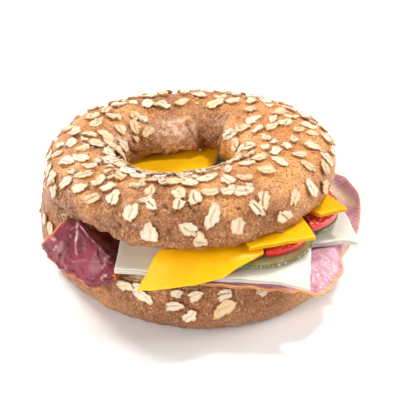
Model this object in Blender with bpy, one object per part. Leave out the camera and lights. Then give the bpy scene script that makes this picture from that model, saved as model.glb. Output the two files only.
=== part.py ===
"""Bagel sandwich: the solids of the two bread halves, the oat flakes fused to them, and the fillings.

Every size is in millimetres. A plan position (x, y) is measured from the bagel's own axis, with +X to
the right, +Y away from the viewer and +Z up, and AXIS_X and AXIS_Y place that axis in the part's frame.
"""

import math
import random

import bmesh
import bpy
import numpy as np
from mathutils import Matrix

# Place of the bagel's axis, so that the origin is the bottom centre of the whole
AXIS_X = -0.2
AXIS_Y = 1.8
MM = 0.001

# Top half: a ring with a flat cut underneath, propped up at the front and right by the fillings
TOP_CENTRE = (-3.7, 0.4, 38.2)
TOP_RADIUS = 56.0
TOP_HOLE_WIDE = 21.4
TOP_HOLE_DEEP = 18.8
TOP_HOLE_SHIFT = -4.0
TOP_HEIGHT = 15.8
TOP_WIDEST = 5.0
TOP_TUCK = 1.6
TOP_ROLL = math.radians(1.2)
TOP_PITCH = math.radians(2.6)

# How far the top half's lower edge hangs below its plane, at turns in degrees: it arches over the ham
SAG_TURNS = (0, 25, 115, 170, 198, 229, 252, 272, 345, 360)
SAGS = (1.2, 0.0, 0.0, 2.2, 1.8, -3.6, 0.8, 1.9, 1.7, 1.2)
SAG_INSIDE = 30.0
SAG_OUTSIDE = 52.0

# Bottom half: flat underneath, with a cut that climbs to meet the top half on the left
BOTTOM_CENTRE = (0.3, -0.2)
BOTTOM_RADIUS = 55.6
BOTTOM_HOLE_WIDE = 19.0
BOTTOM_HOLE_DEEP = 17.5
BOTTOM_HEIGHT = 22.4
BOTTOM_WIDEST = 12.5
BOTTOM_TUCK = 1.4
BOTTOM_BASE_INSET = 10.5
BOTTOM_LEFT_BULGE = 6.2
BULGE_TURN = math.radians(177)
BULGE_SPREAD = math.radians(21)
MEET_GAP = 0.6
MEET_FIRST = math.radians(74)
MEET_LAST = math.radians(192)
MEET_FADE = math.radians(24)
MEET_INSIDE = 40.0
MEET_OUTSIDE = 53.0

# The dough overlaps itself at the back of the hole, which leaves a pocket between two creases
POCKET_LEFT = math.radians(80)
POCKET_RIGHT = math.radians(50)
POCKET_LEAN = math.radians(15)
POCKET_DEPTH = 4.4

# Oat flakes
FLAKE_LENGTH = 6.8
FLAKE_WIDTH = 4.4
FLAKE_THICK = 1.0
FLAKE_SINK = 0.9
FLAKE_SIDES = 6
TOP_FLAKES = 134
BOTTOM_FLAKES = 20
FLAKE_GAP = 5.2

# Cheese, tomato and pickle
WHITE_THICK = 2.4
YELLOW_THICK = 1.9
HAM_THICK = 1.2
HAM_CLEAR = 1.7
HAM_EDGE = 56.9
PICKLE_THICK = 1.4
PICKLE_FLOOR = 29.85
TOMATO_THICK = 2.85
TOMATO_FLOOR = 31.55
BITE_GAP = 0.5


def smoothstep(x):
    """0 below 0, 1 above 1, and 3x^2 - 2x^3 between."""
    x = np.clip(x, 0.0, 1.0)
    return x * x * (3.0 - 2.0 * x)


def material(name, colour, roughness):
    """A Principled material of one colour."""
    made = bpy.data.materials.new(name)
    made.use_nodes = True
    shader = made.node_tree.nodes["Principled BSDF"]
    shader.inputs["Base Color"].default_value = (*colour, 1.0)
    shader.inputs["Roughness"].default_value = roughness
    shader.inputs["Metallic"].default_value = 0.0
    return made


def mesh_object(name, points, faces, made):
    """An object from points in millimetres about the bagel's axis."""
    placed = (np.asarray(points, float) + (AXIS_X, AXIS_Y, 0.0)) * MM
    mesh = bpy.data.meshes.new(name)
    mesh.from_pydata(placed.tolist(), [], faces)
    mesh.materials.append(made)
    mesh.update()
    obj = bpy.data.objects.new(name, mesh)
    bpy.context.scene.collection.objects.link(obj)
    return obj


def closed_tube(name, grid, made):
    """A ring-shaped solid from a grid of points that closes on itself both ways."""
    rows, columns, _ = grid.shape
    faces = []
    for i in range(rows):
        for j in range(columns):
            after_i, after_j = (i + 1) % rows, (j + 1) % columns
            faces.append(
                (
                    i * columns + j,
                    after_i * columns + j,
                    after_i * columns + after_j,
                    i * columns + after_j,
                )
            )
    return mesh_object(name, grid.reshape(-1, 3), faces, made)


def slab(name, top, thick, made):
    """A sheet of even thickness below a grid of top points, with its rim closed."""
    along_u = np.gradient(top, axis=0)
    along_v = np.gradient(top, axis=1)
    normal = np.cross(along_u, along_v)
    normal /= np.linalg.norm(normal, axis=2, keepdims=True)
    below = top - thick * normal
    rows, columns, _ = top.shape
    count = rows * columns
    faces = []
    for i in range(rows - 1):
        for j in range(columns - 1):
            a, b = i * columns + j, (i + 1) * columns + j
            faces.append((a, b, b + 1))
            faces.append((a, b + 1, a + 1))
            faces.append((count + a, count + b + 1, count + b))
            faces.append((count + a, count + a + 1, count + b + 1))
    rim = [j for j in range(columns)]
    rim += [i * columns + columns - 1 for i in range(1, rows)]
    rim += [(rows - 1) * columns + j for j in range(columns - 2, -1, -1)]
    rim += [i * columns for i in range(rows - 2, 0, -1)]
    for a, b in zip(rim, rim[1:] + rim[:1]):
        faces.append((a, b, count + b))
        faces.append((a, count + b, count + a))
    return mesh_object(name, np.concatenate([top.reshape(-1, 3), below.reshape(-1, 3)]), faces, made)


def ring_wobble(turn):
    """How far a hand-shaped ring departs from round, as a few slow waves."""
    return 1.4 * np.sin(2 * turn - 0.2) + 0.4 * np.sin(3 * turn + 1.9) + 0.3 * np.sin(5 * turn)


def crown_wobble(turn):
    """How far the crown rises and falls round the ring."""
    return 0.8 * np.sin(2 * turn + 2.4) + 0.5 * np.sin(3 * turn - 0.6)


def pocket(turn, angle):
    """Depth of the pocket in the inner wall: sharp at its two creases, fading out over the crown."""
    lean = POCKET_LEAN * smoothstep((math.pi - angle) / math.radians(80))
    inside = smoothstep((turn - POCKET_RIGHT - lean * 0.3) / 0.07)
    inside = inside * smoothstep((POCKET_LEFT + lean - turn) / 0.07)
    return POCKET_DEPTH * inside * smoothstep((angle - math.radians(80)) / math.radians(45))


def hole_edge(turn, wide, deep, shift):
    """Where an oval hole's edge lies along each turn, when its centre is off the ring's along x."""
    a = (np.cos(turn) / wide) ** 2 + (np.sin(turn) / deep) ** 2
    b = -2 * shift * np.cos(turn) / wide**2
    c = (shift / wide) ** 2 - 1
    return (-b + np.sqrt(b * b - 4 * a * c)) / (2 * a)


def power(x, exponent):
    return np.sign(x) * np.abs(x) ** exponent


def top_point(turn, angle):
    """The top half's crust, at a turn round the ring and an angle over its section.

    Angle 0 is the outer side, 90 degrees the crown and 180 degrees the hole's wall. An angle below 0 or
    above 180 degrees runs down the tucked-in side to the cut, which it reaches at -90 and 270 degrees.
    """
    outer = TOP_RADIUS + ring_wobble(turn)
    inner = hole_edge(turn, TOP_HOLE_WIDE, TOP_HOLE_DEEP, TOP_HOLE_SHIFT)
    half = (outer - inner) / 2
    height = TOP_HEIGHT + crown_wobble(turn)
    across = power(np.cos(angle), 0.94)
    up = TOP_WIDEST + (height - TOP_WIDEST) * power(np.maximum(np.sin(angle), 0.0), 0.96)
    low = np.clip(-np.sin(angle), 0.0, 1.0)
    side = np.where(np.cos(angle) >= 0.0, 1.0, -1.0)
    past = low > 0.0
    across = np.where(past, side * (1.0 - TOP_TUCK * low**2 / half), across)
    up = np.where(past, TOP_WIDEST * (1.0 - low), up)
    reach = (outer + inner) / 2 + half * across + pocket(turn, angle)
    return tilt_top(reach * np.cos(turn), reach * np.sin(turn), up)


def top_sag(x, y):
    """How far the top half's lower side hangs below its plane: by the turn, and growing outwards."""
    turn = np.mod(np.degrees(np.arctan2(y, x)), 360.0)
    outwards = smoothstep((np.hypot(x, y) - SAG_INSIDE) / (SAG_OUTSIDE - SAG_INSIDE))
    return smooth_through(SAG_TURNS, SAGS, turn) * outwards


def underside(x, y):
    """Height of the top half's cut over a plan position."""
    centre_x, centre_y, centre_z = TOP_CENTRE
    x, y = x - centre_x, y - centre_y
    return centre_z + x * math.tan(TOP_ROLL) - y * math.tan(TOP_PITCH) - top_sag(x, y)


def tilt_top(x, y, up):
    """From the top half's own level frame to the bagel's: sag on the left, roll, pitch, then place."""
    up = up - top_sag(x, y) * (1.0 - smoothstep(up / TOP_HEIGHT))
    rolled_x = x * math.cos(TOP_ROLL) - up * math.sin(TOP_ROLL)
    rolled_z = x * math.sin(TOP_ROLL) + up * math.cos(TOP_ROLL)
    pitched_y = y * math.cos(TOP_PITCH) + rolled_z * math.sin(TOP_PITCH)
    pitched_z = -y * math.sin(TOP_PITCH) + rolled_z * math.cos(TOP_PITCH)
    centre_x, centre_y, centre_z = TOP_CENTRE
    return np.stack([rolled_x + centre_x, pitched_y + centre_y, pitched_z + centre_z], axis=-1)


def bulge(turn):
    """1 on the left side, where the bottom half bulges out most, fading to 0 both ways round the ring."""
    away = np.angle(np.exp(1j * (turn - BULGE_TURN)))
    return np.exp(-((away / BULGE_SPREAD) ** 2))


def cut_height(x, y):
    """Height of the bottom half's cut, whose rim climbs to meet the top half on the left and at the back."""
    turn = np.mod(np.arctan2(y, x), 2 * math.pi)
    meets = smoothstep((turn - MEET_FIRST) / MEET_FADE) * smoothstep((MEET_LAST + MEET_FADE - turn) / MEET_FADE)
    meets = meets * smoothstep((np.hypot(x, y) - MEET_INSIDE) / (MEET_OUTSIDE - MEET_INSIDE))
    return BOTTOM_HEIGHT + meets * (underside(x, y) - MEET_GAP - BOTTOM_HEIGHT)


def bottom_point(turn, angle):
    """The bottom half's crust, with the same angles as the top's: here 0 is its widest line.

    Angles from 0 to -90 degrees go down the outer side to the flat base, and 0 to 90 degrees up to the cut.
    """
    outer = BOTTOM_RADIUS + 0.5 * ring_wobble(turn + 0.9) + BOTTOM_LEFT_BULGE * bulge(turn)
    inner = hole_edge(turn, BOTTOM_HOLE_WIDE, BOTTOM_HOLE_DEEP, TOP_HOLE_SHIFT)
    half = (outer - inner) / 2
    side = np.where(np.cos(angle) >= 0.0, 1.0, -1.0)
    low = np.clip(-np.sin(angle), 0.0, 1.0)
    high = np.clip(np.sin(angle), 0.0, 1.0)
    inset = BOTTOM_BASE_INSET * (1.0 - np.sqrt(1.0 - low**2))
    across = half - inset - BOTTOM_TUCK * high**2
    reach = (outer + inner) / 2 + side * across
    x = reach * np.cos(turn) + BOTTOM_CENTRE[0]
    y = reach * np.sin(turn) + BOTTOM_CENTRE[1]
    up = BOTTOM_WIDEST * (1.0 - low) + (cut_height(x, y) - BOTTOM_WIDEST) * high
    return np.stack([x, y, up], axis=-1)


def between(first, last, steps):
    """Corner-to-corner points across a flat face, without its two corners."""
    parts = np.linspace(0.0, 1.0, steps + 2)[1:-1]
    return [first + (last - first) * part for part in parts]


def ring_turns(steps):
    """Even turns round the ring, with more at the pocket's creases."""
    even = np.linspace(0.0, 2 * math.pi, steps, endpoint=False)
    creases = []
    for crease in (POCKET_RIGHT + 0.03, POCKET_LEFT + POCKET_LEAN * 0.5):
        creases += [crease - 0.045, crease + 0.045]
    kept = [turn for turn in even if min(abs(turn - crease) for crease in creases) > 0.04]
    return np.array(sorted(kept + creases))


def section_grid(point, turns, angles, flat_steps):
    """Points round the ring: the crust over the given angles, then back across the cut."""
    columns = [point(turns, np.full(turns.shape, angle)) for angle in angles]
    columns += between(columns[-1], columns[0], flat_steps)
    return np.stack(columns, axis=1)


def top_body(made):
    angles = np.radians([-90, -50, -20, 0, 14, 28, 44, 60, 76, 90, 104, 120, 136, 152, 166, 180, 205, 270])
    grid = section_grid(top_point, ring_turns(60), angles, 2)
    return closed_tube("bagel_top", grid, made)


def bottom_body(made):
    # The cut's two edges stay just short of 90 degrees, which tells the outer side from the inner
    outer_side = [89.9, 40, 0, -25, -50, -72, -90]
    angles = np.radians(outer_side + [180 - angle for angle in reversed(outer_side)])
    turns = np.linspace(0.0, 2 * math.pi, 50, endpoint=False)
    columns = [bottom_point(turns, np.full(turns.shape, angle)) for angle in angles]
    across = between(columns[-1], columns[0], 7)
    for points in across:
        points[:, 2] = cut_height(points[:, 0], points[:, 1])
    grid = np.stack(columns + across, axis=1)[:, ::-1]
    return closed_tube("bagel_bottom", grid, made)


def frame_at(point, turn, angle):
    """A spot on the crust with its outward normal, from small steps both ways."""
    step = 0.01
    here = point(np.array(turn), np.array(angle))
    round_ring = point(np.array(turn + step), np.array(angle)) - here
    over = point(np.array(turn), np.array(angle + step)) - here
    normal = np.cross(round_ring, over)
    return here, round_ring / np.linalg.norm(round_ring), normal / np.linalg.norm(normal)


def flake_places(point, rule, wanted, gap, seed, chosen):
    """Spots for the flakes: the chosen ones first, then random ones that keep a gap to all before."""
    draw = random.Random(seed)
    places = []
    for turn, angle, spin, size in chosen:
        places.append((math.radians(turn), math.radians(angle), math.radians(spin), size))
    spots = [frame_at(point, turn, angle)[0] for turn, angle, _, _ in places]
    tries = 0
    while len(places) < wanted + len(chosen) and tries < 6000:
        tries += 1
        turn = draw.uniform(0.0, 2 * math.pi)
        angle = draw.uniform(*rule["angles"])
        spin = draw.uniform(0.0, math.pi)
        size = draw.uniform(0.8, 1.1)
        if draw.random() > rule["share"](turn, angle):
            continue
        spot = frame_at(point, turn, angle)[0]
        if min(np.linalg.norm(np.array(spots) - spot, axis=1), default=gap) < gap:
            continue
        places.append((turn, angle, spin, size))
        spots.append(spot)
    return places


def top_share(turn, angle):
    """How likely a random flake is kept on the top half: few low down at the front or in the pocket."""
    turn_deg, angle_deg = math.degrees(turn), math.degrees(angle)
    if angle_deg < 50 and 212 < turn_deg < 330:
        return 0.0
    if angle_deg > 112 and 44 < turn_deg < 128:
        return 0.0
    return 1.0 if 55 < angle_deg < 140 else 0.7


def bottom_share(turn, angle):
    """How likely a random flake is kept on the bottom half: none under the ham or the slices."""
    turn_deg = math.degrees(turn)
    if turn_deg > 192 or turn_deg < 32:
        return 0.0
    return 0.8


TOP_RULE = {"angles": (math.radians(16), math.radians(160)), "share": top_share}
BOTTOM_RULE = {"angles": (math.radians(-30), math.radians(40)), "share": bottom_share}

# Flakes placed by hand: turn, angle, spin in degrees, and size against the usual flake
TOP_CHOSEN = [
    (212, 42, 85, 1.0),
    (221, 47, 60, 0.9),
    (230, 40, 50, 1.1),
    (238, 54, 100, 1.1),
    (248, 36, 95, 1.1),
    (256, 4, 92, 1.25),
    (270, 15, 160, 1.0),
    (243, 84, 20, 0.95),
    (252, 75, 100, 1.0),
    (262, 94, 5, 1.0),
    (279, 30, 60, 1.35),
    (280, 66, 0, 1.05),
    (288, 63, 10, 0.9),
    (294, 58, 170, 1.15),
    (288, 11, 70, 1.05),
    (274, -12, 170, 0.85),
    (297, 29, 120, 1.0),
    (301, 38, 60, 1.1),
    (308, 4, 140, 1.1),
    (315, 24, 45, 1.1),
    (326, 22, 95, 1.15),
    (335, 8, 95, 1.05),
    (334, 48, 100, 1.0),
]
BOTTOM_CHOSEN = [
    (240, 44, 10, 1.0),
    (245, 50, 20, 0.85),
    (248, 28, 150, 1.1),
    (261, 52, 15, 0.8),
    (260, 16, 20, 1.0),
    (266, -4, 50, 1.0),
    (268, 49, 20, 0.9),
    (279, 50, 15, 0.9),
    (279, 12, 30, 1.4),
    (294, 40, 10, 0.8),
    (190, 35, 80, 1.0),
    (195, 28, 85, 1.1),
]


def flake(name, point, place, made):
    """One oat flake: an oval with a low dome, sunk a little into the crust."""
    turn, angle, spin, size = place
    here, tangent, normal = frame_at(point, turn, angle)
    other = np.cross(normal, tangent)
    long_way = math.cos(spin) * tangent + math.sin(spin) * other
    short_way = np.cross(normal, long_way)
    sides = np.arange(FLAKE_SIDES) * 2 * math.pi / FLAKE_SIDES
    out_long = size * FLAKE_LENGTH / 2 * np.cos(sides)[:, None] * long_way
    out_short = size * FLAKE_WIDTH / 2 * np.sin(sides)[:, None] * short_way
    rim = here + out_long + out_short + 0.45 * FLAKE_THICK * normal
    sunk = here + 0.9 * (out_long + out_short) - FLAKE_SINK * normal
    ends = np.stack([here + FLAKE_THICK * normal, here - FLAKE_SINK * normal])
    points = np.concatenate([rim, sunk, ends])
    peak, floor = 2 * FLAKE_SIDES, 2 * FLAKE_SIDES + 1
    faces = []
    for k in range(FLAKE_SIDES):
        after = (k + 1) % FLAKE_SIDES
        faces.append((k, after, peak))
        faces.append((FLAKE_SIDES + after, FLAKE_SIDES + k, floor))
        faces.append((FLAKE_SIDES + k, FLAKE_SIDES + after, after))
        faces.append((FLAKE_SIDES + k, after, k))
    return mesh_object(name, points, faces, made)


def fuse(body, extras):
    """Joins the extras to the body with one union, and removes them."""
    group = bpy.data.collections.new(body.name + "_flakes")
    bpy.context.scene.collection.children.link(group)
    for extra in extras:
        bpy.context.scene.collection.objects.unlink(extra)
        group.objects.link(extra)
    union = body.modifiers.new("flakes", "BOOLEAN")
    union.operation = "UNION"
    union.operand_type = "COLLECTION"
    union.collection = group
    union.solver = "MANIFOLD"
    bpy.context.view_layer.update()
    seen = body.evaluated_get(bpy.context.evaluated_depsgraph_get())
    joined = bpy.data.meshes.new_from_object(seen)
    body.modifiers.clear()
    body.data = joined
    for extra in extras:
        bpy.data.objects.remove(extra, do_unlink=True)
    bpy.data.collections.remove(group)


def flat_sheet(front, back, columns, rows):
    """A grid between a front and a back curve, each a list of plan points."""
    across = np.linspace(0.0, 1.0, columns)
    curves = []
    for curve in (front, back):
        curve = np.array(curve, float)
        places = np.linspace(0.0, 1.0, len(curve))
        curves.append(np.stack([np.interp(across, places, curve[:, k]) for k in (0, 1)], axis=-1))
    deep = np.linspace(0.0, 1.0, rows)[None, :, None]
    return curves[0][:, None] * (1 - deep) + curves[1][:, None] * deep


def turned_square(corner, turn, width, depth):
    """Front and back edges of a rectangle, from its front right corner and its turn in degrees."""
    corner = np.array(corner, float)
    right = np.array([math.cos(math.radians(turn)), math.sin(math.radians(turn))])
    away = np.array([-right[1], right[0]])
    front_left = corner - width * right
    return [front_left, corner], [front_left + depth * away, corner + depth * away]


def sagging(flat, level, slope, start, sag):
    """Heights of a slice: level at the axis, sloping along x, sagging beyond a radius by a parabola."""
    x, y = flat[..., 0], flat[..., 1]
    beyond = np.maximum(np.hypot(x, y) - start, 0.0)
    return np.concatenate([flat, (level + slope * x - sag * beyond**2)[..., None]], axis=-1)


def draped(flat, level, line, start, sag):
    """Heights of the front slice: it droops in front of a line, less so on its left, and beyond a radius."""
    x, y = flat[..., 0], flat[..., 1]
    past = np.maximum(line - y, 0.0)
    droop = 0.25 * smoothstep((x + 36.0) / 36.0) * past**2 / (past + 4.0)
    beyond = np.maximum(np.hypot(x, y) - start, 0.0)
    return np.concatenate([flat, (level - droop - sag * beyond**2)[..., None]], axis=-1)


def hanging(flat, level, slope, start, bend, steepest):
    """A slice that hangs over an edge: round an arc beyond the start radius, then straight down a slope."""
    x, y = flat[..., 0], flat[..., 1]
    reach = np.hypot(x, y)
    beyond = np.maximum(reach - start, 0.0)
    arc = np.minimum(beyond / bend, steepest)
    straight = np.maximum(beyond - bend * steepest, 0.0)
    out = bend * np.sin(arc) + straight * math.cos(steepest)
    down = bend * (1 - np.cos(arc)) + straight * math.sin(steepest)
    scale = (np.minimum(reach, start) + out) / np.maximum(reach, 1e-6)
    return np.stack([x * scale, y * scale, level + slope * x - down], axis=-1)


def white_cheeses(made):
    front, back = turned_square((39.4, -57.0), -4.25, 70.5, 70)
    front_slice = draped(flat_sheet(front, back, 9, 15), 29.5, -44.0, 58.0, 0.025)
    slab("white_cheese_front", front_slice, WHITE_THICK, made)
    front, back = turned_square((60.0, -26.3), 13, 65, 58)
    right_slice = sagging(flat_sheet(front, back, 8, 8), 26.7, 0.0, 56.5, 0.03)
    slab("white_cheese_right", right_slice, WHITE_THICK, made)


def yellow_cheeses(made):
    front = [(-24.4, -65.6), (-12.4, -65.6), (-1.5, -64.6), (9.0, -61.0), (16.0, -55.6), (23.0, -49.4)]
    back = [(-5.0, -38.0), (0.0, -36.0), (5.0, -35.0), (10.0, -34.0), (15.0, -33.0), (21.0, -32.0)]
    low = hanging(flat_sheet(front, back, 11, 9), 36.4, -0.045, 51.5, 8.0, math.radians(52))
    slab("yellow_cheese_low", low, YELLOW_THICK, made)
    front, back = turned_square((41.7, -43.7), 17, 25, 20)
    high = sagging(flat_sheet(front, back, 8, 5), 38.0, 0.008, 57.0, 0.03)
    slab("yellow_cheese_high", high, YELLOW_THICK, made)
    front = [(7.2, 2.0), (44.4, -27.4), (54.6, -24.2)]
    back = [(12.4, 25.0), (19.0, 29.0), (27.0, 24.0)]
    right = sagging(flat_sheet(front, back, 8, 6), 35.7, 0.045, 58.0, 0.03)
    slab("yellow_cheese_right", right, YELLOW_THICK, made)
    front, back = turned_square((-3.4, -24.0), -13, 40, 56)
    rear = sagging(flat_sheet(front, back, 5, 5), 35.4, 0.0, 58.0, 0.03)
    slab("yellow_cheese_rear", rear, YELLOW_THICK, made)


def smooth_through(places, values, at):
    """A smooth curve through a few named values, by cosine steps between them."""
    places, values = np.array(places, float), np.array(values, float)
    index = np.clip(np.searchsorted(places, at, side="right") - 1, 0, len(places) - 2)
    part = (at - places[index]) / (places[index + 1] - places[index])
    part = (1 - np.cos(math.pi * np.clip(part, 0.0, 1.0))) / 2
    return values[index] * (1 - part) + values[index + 1] * part


def spline(knots, at):
    """A Catmull-Rom curve through knots, which is an array of arrays of (radius, height)."""
    last = len(knots) - 1
    padded = [2 * knots[0] - knots[1], *knots, 2 * knots[-1] - knots[-2]]
    place = at * last
    index = min(int(place), last - 1)
    t = place - index
    a, b, c, d = padded[index : index + 4]
    return 0.5 * (2 * b + (c - a) * t + (2 * a - 5 * b + 4 * c - d) * t**2 + (3 * b - a - 3 * c + d) * t**3)


def cured_ham(made):
    """The dark ham on the left: pleated up against the top half, then hanging down over the crust."""
    turn = np.linspace(0.0, 1.0, 12)
    ridge_height = smooth_through([0, 0.2, 0.6, 0.8, 1], [34.4, 36.0, 31.5, 26.4, 24.9], turn)
    ridge_reach = smooth_through([0, 0.4, 1], [54.8, 53.6, 55.0], turn)
    end_height = smooth_through([0, 0.2, 0.5, 0.75, 0.9, 1], [17.3, 16.0, 16.3, 17.0, 21.0, 24.6], turn)
    end_reach = smooth_through([0, 0.36, 0.84, 1], [63.2, 61.0, 60.2, 58.5], turn)
    zero = np.zeros_like(turn)
    knots = [
        np.stack([zero + 34.0, zero + 24.1], axis=-1),
        np.stack([zero + 44.0, 24.4 + 0.12 * (ridge_height - 24.4)], axis=-1),
        np.stack([ridge_reach, ridge_height], axis=-1),
        np.stack([end_reach - 1.6, end_height + 0.62 * (ridge_height - end_height)], axis=-1),
        np.stack([end_reach + 0.6, end_height + 0.28 * (ridge_height - end_height)], axis=-1),
        np.stack([end_reach, end_height], axis=-1),
    ]
    grid = []
    for part in np.linspace(0.0, 1.0, 13):
        curve = spline(knots, part)
        left = math.radians(207.0 - 8.0 * float(smoothstep((part - 0.4) / 0.6)))
        angle = left + (math.radians(239.0) - left) * turn
        ripple = 0.5 * np.sin(14.0 * turn + 3.0 * part) * smoothstep((part - 0.45) / 0.3)
        reach = curve[:, 0] + ripple
        lying = 1.0 - smoothstep((reach - 54.0) / 4.0)
        x, y = reach * np.cos(angle), reach * np.sin(angle)
        clear = cut_height(x, y) + HAM_THICK + HAM_CLEAR
        height = curve[:, 1] + lying * np.maximum(clear - curve[:, 1], 0.0)
        grid.append(np.stack([x, y, height], axis=-1))
    slab("ham_cured_left", np.stack(grid, axis=1)[::-1], HAM_THICK, made)


def cooked_ham(made):
    """The pale ham: lying on the bottom half, and hanging out beyond it on the right and at the front."""
    degrees = np.linspace(-90.0, 26.0, 24)
    ends = [-90, -84, -74, -64, -56, -48, -37, -27, -14, 4, 16, 26]
    reaches = [53.2, 53.8, 57.0, 61.3, 63.0, 67.0, 65.4, 60.6, 62.6, 62.8, 61.5, 59.0]
    heights = [23.9, 23.9, 24.0, 23.4, 20.4, 17.0, 18.2, 20.0, 23.4, 27.0, 27.5, 26.0]
    end_reach = smooth_through(ends, reaches, degrees)
    end_height = smooth_through(ends, heights, degrees)
    turn = np.radians(degrees)
    grid = []
    for part in np.linspace(0.0, 1.0, 9):
        reach = 36.0 + (end_reach - 36.0) * part
        out = smoothstep((reach - HAM_EDGE) / np.maximum(end_reach - HAM_EDGE, HAM_THICK))
        height = 23.9 + (end_height - 23.9) * out + 0.5 * np.sin(9.0 * turn + 2.0) * out
        grid.append(np.stack([reach * np.cos(turn), reach * np.sin(turn), height], axis=-1))
    slab("ham_cooked_right", np.stack(grid, axis=1)[::-1], HAM_THICK, made)


def round_slice(name, centre, radius, floor, thick, made, bite=None, keep=None):
    """A round slice with a softened rim. A bite leaves out a neighbour's circle, and keep one half-plane."""
    bm = bmesh.new()
    bmesh.ops.create_cone(
        bm, cap_ends=True, segments=28, radius1=radius * MM, radius2=radius * MM, depth=thick * MM
    )
    rims = [edge for edge in bm.edges if abs(edge.verts[0].co.z - edge.verts[1].co.z) < 1e-6]
    bmesh.ops.bevel(bm, geom=rims, offset=0.25 * thick * MM, segments=1, affect="EDGES")
    mesh = bpy.data.meshes.new(name)
    bm.to_mesh(mesh)
    bm.free()
    mesh.materials.append(made)
    obj = bpy.data.objects.new(name, mesh)
    obj.location = ((centre[0] + AXIS_X) * MM, (centre[1] + AXIS_Y) * MM, (floor + thick / 2) * MM)
    bpy.context.scene.collection.objects.link(obj)
    if bite:
        cut_away(obj, cylinder_cutter(name + "_bite", bite[0], bite[1] + BITE_GAP, floor, thick))
    if keep is not None:
        cut_away(obj, half_cutter(name + "_half", centre, keep, radius, floor, thick))
    return obj


def cylinder_cutter(name, centre, radius, floor, thick):
    bm = bmesh.new()
    bmesh.ops.create_cone(
        bm, cap_ends=True, segments=48, radius1=radius * MM, radius2=radius * MM, depth=(thick + 4) * MM
    )
    place = Matrix.Translation(
        ((centre[0] + AXIS_X) * MM, (centre[1] + AXIS_Y) * MM, (floor + thick / 2) * MM)
    )
    return cutter_object(name, bm, place)


def half_cutter(name, centre, facing, radius, floor, thick):
    """A box over the half of a slice that lies away from the facing direction, in degrees."""
    size = 2.4 * radius
    bm = bmesh.new()
    bmesh.ops.create_cube(bm, size=1.0)
    bmesh.ops.scale(bm, vec=(size * MM, size * MM, (thick + 4) * MM), verts=bm.verts)
    turn = math.radians(facing)
    place = Matrix.Translation(
        (
            (centre[0] + AXIS_X - math.cos(turn) * size / 2) * MM,
            (centre[1] + AXIS_Y - math.sin(turn) * size / 2) * MM,
            (floor + thick / 2) * MM,
        )
    )
    return cutter_object(name, bm, place @ Matrix.Rotation(turn, 4, "Z"))


def cutter_object(name, bm, place):
    mesh = bpy.data.meshes.new(name)
    bm.to_mesh(mesh)
    bm.free()
    cutter = bpy.data.objects.new(name, mesh)
    cutter.matrix_world = place
    cutter.hide_render = True
    cutter.display_type = "WIRE"
    bpy.context.scene.collection.objects.link(cutter)
    return cutter


def cut_away(obj, cutter):
    cut = obj.modifiers.new(cutter.name, "BOOLEAN")
    cut.operation = "DIFFERENCE"
    cut.object = cutter


def pickles_and_tomatoes(pickle, tomato):
    pickle_front, tomato_front = (20.0, -30.4), (23.5, -31.5)
    round_slice("pickle_front", pickle_front, 22.4, PICKLE_FLOOR, PICKLE_THICK, pickle)
    bite = (pickle_front, 22.4)
    round_slice("pickle_right", (33.0, -14.0), 19.6, PICKLE_FLOOR, PICKLE_THICK, pickle, bite)
    round_slice("pickle_back", (7.5, 22.0), 15.0, PICKLE_FLOOR, PICKLE_THICK, pickle)
    round_slice("tomato_front", tomato_front, 16.5, TOMATO_FLOOR, TOMATO_THICK, tomato, None, 0)
    bite = (tomato_front, 16.5)
    round_slice("tomato_right", (33.6, -14.0), 19.0, TOMATO_FLOOR, TOMATO_THICK, tomato, bite, -30)


def breads():
    crust = material("crust", (0.52, 0.27, 0.13), 0.6)
    for body, point, rule, wanted, seed, chosen in (
        (top_body(crust), top_point, TOP_RULE, TOP_FLAKES, 11, TOP_CHOSEN),
        (bottom_body(crust), bottom_point, BOTTOM_RULE, BOTTOM_FLAKES, 5, BOTTOM_CHOSEN),
    ):
        places = flake_places(point, rule, wanted, FLAKE_GAP, seed, chosen)
        extras = [flake(f"{body.name}_flake_{k}", point, place, crust) for k, place in enumerate(places)]
        fuse(body, extras)


def main():
    for obj in list(bpy.data.objects):
        bpy.data.objects.remove(obj, do_unlink=True)
    breads()
    cured_ham(material("cured_ham", (0.36, 0.06, 0.07), 0.45))
    cooked_ham(material("cooked_ham", (0.82, 0.45, 0.48), 0.45))
    white_cheeses(material("white_cheese", (0.86, 0.80, 0.68), 0.4))
    yellow_cheeses(material("yellow_cheese", (0.95, 0.52, 0.02), 0.4))
    pickles_and_tomatoes(
        material("pickle", (0.28, 0.28, 0.08), 0.3),
        material("tomato", (0.60, 0.03, 0.02), 0.25),
    )


main()
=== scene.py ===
# %% [markdown]
# # A filled oat bagel, dressed for its photograph
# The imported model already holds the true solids: two halves of a baked ring, and the slices between
# them. This lesson repeats each of them as a finer surface, lays the oat flakes on the crust and gives
# every piece the finish of the real food. It starts by loading the solids as a fixed frame.

# %% Load the frame
import math
import random

import bpy
import numpy as np
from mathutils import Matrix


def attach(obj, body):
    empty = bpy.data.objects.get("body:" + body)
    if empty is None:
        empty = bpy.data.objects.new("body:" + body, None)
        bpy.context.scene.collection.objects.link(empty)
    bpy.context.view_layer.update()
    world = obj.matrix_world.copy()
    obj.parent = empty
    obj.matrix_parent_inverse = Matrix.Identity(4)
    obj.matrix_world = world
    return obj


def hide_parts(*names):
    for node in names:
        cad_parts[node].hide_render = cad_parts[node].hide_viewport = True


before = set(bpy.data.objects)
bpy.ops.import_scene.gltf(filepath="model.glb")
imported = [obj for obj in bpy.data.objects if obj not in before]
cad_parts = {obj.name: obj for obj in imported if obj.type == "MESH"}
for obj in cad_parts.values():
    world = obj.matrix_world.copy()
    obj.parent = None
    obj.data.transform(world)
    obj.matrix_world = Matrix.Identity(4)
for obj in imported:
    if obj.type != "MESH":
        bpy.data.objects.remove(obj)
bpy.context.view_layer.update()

MM = 0.001
AXIS_X, AXIS_Y = -0.2, 1.8
print("frame holds", len(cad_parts), "nodes")

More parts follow.
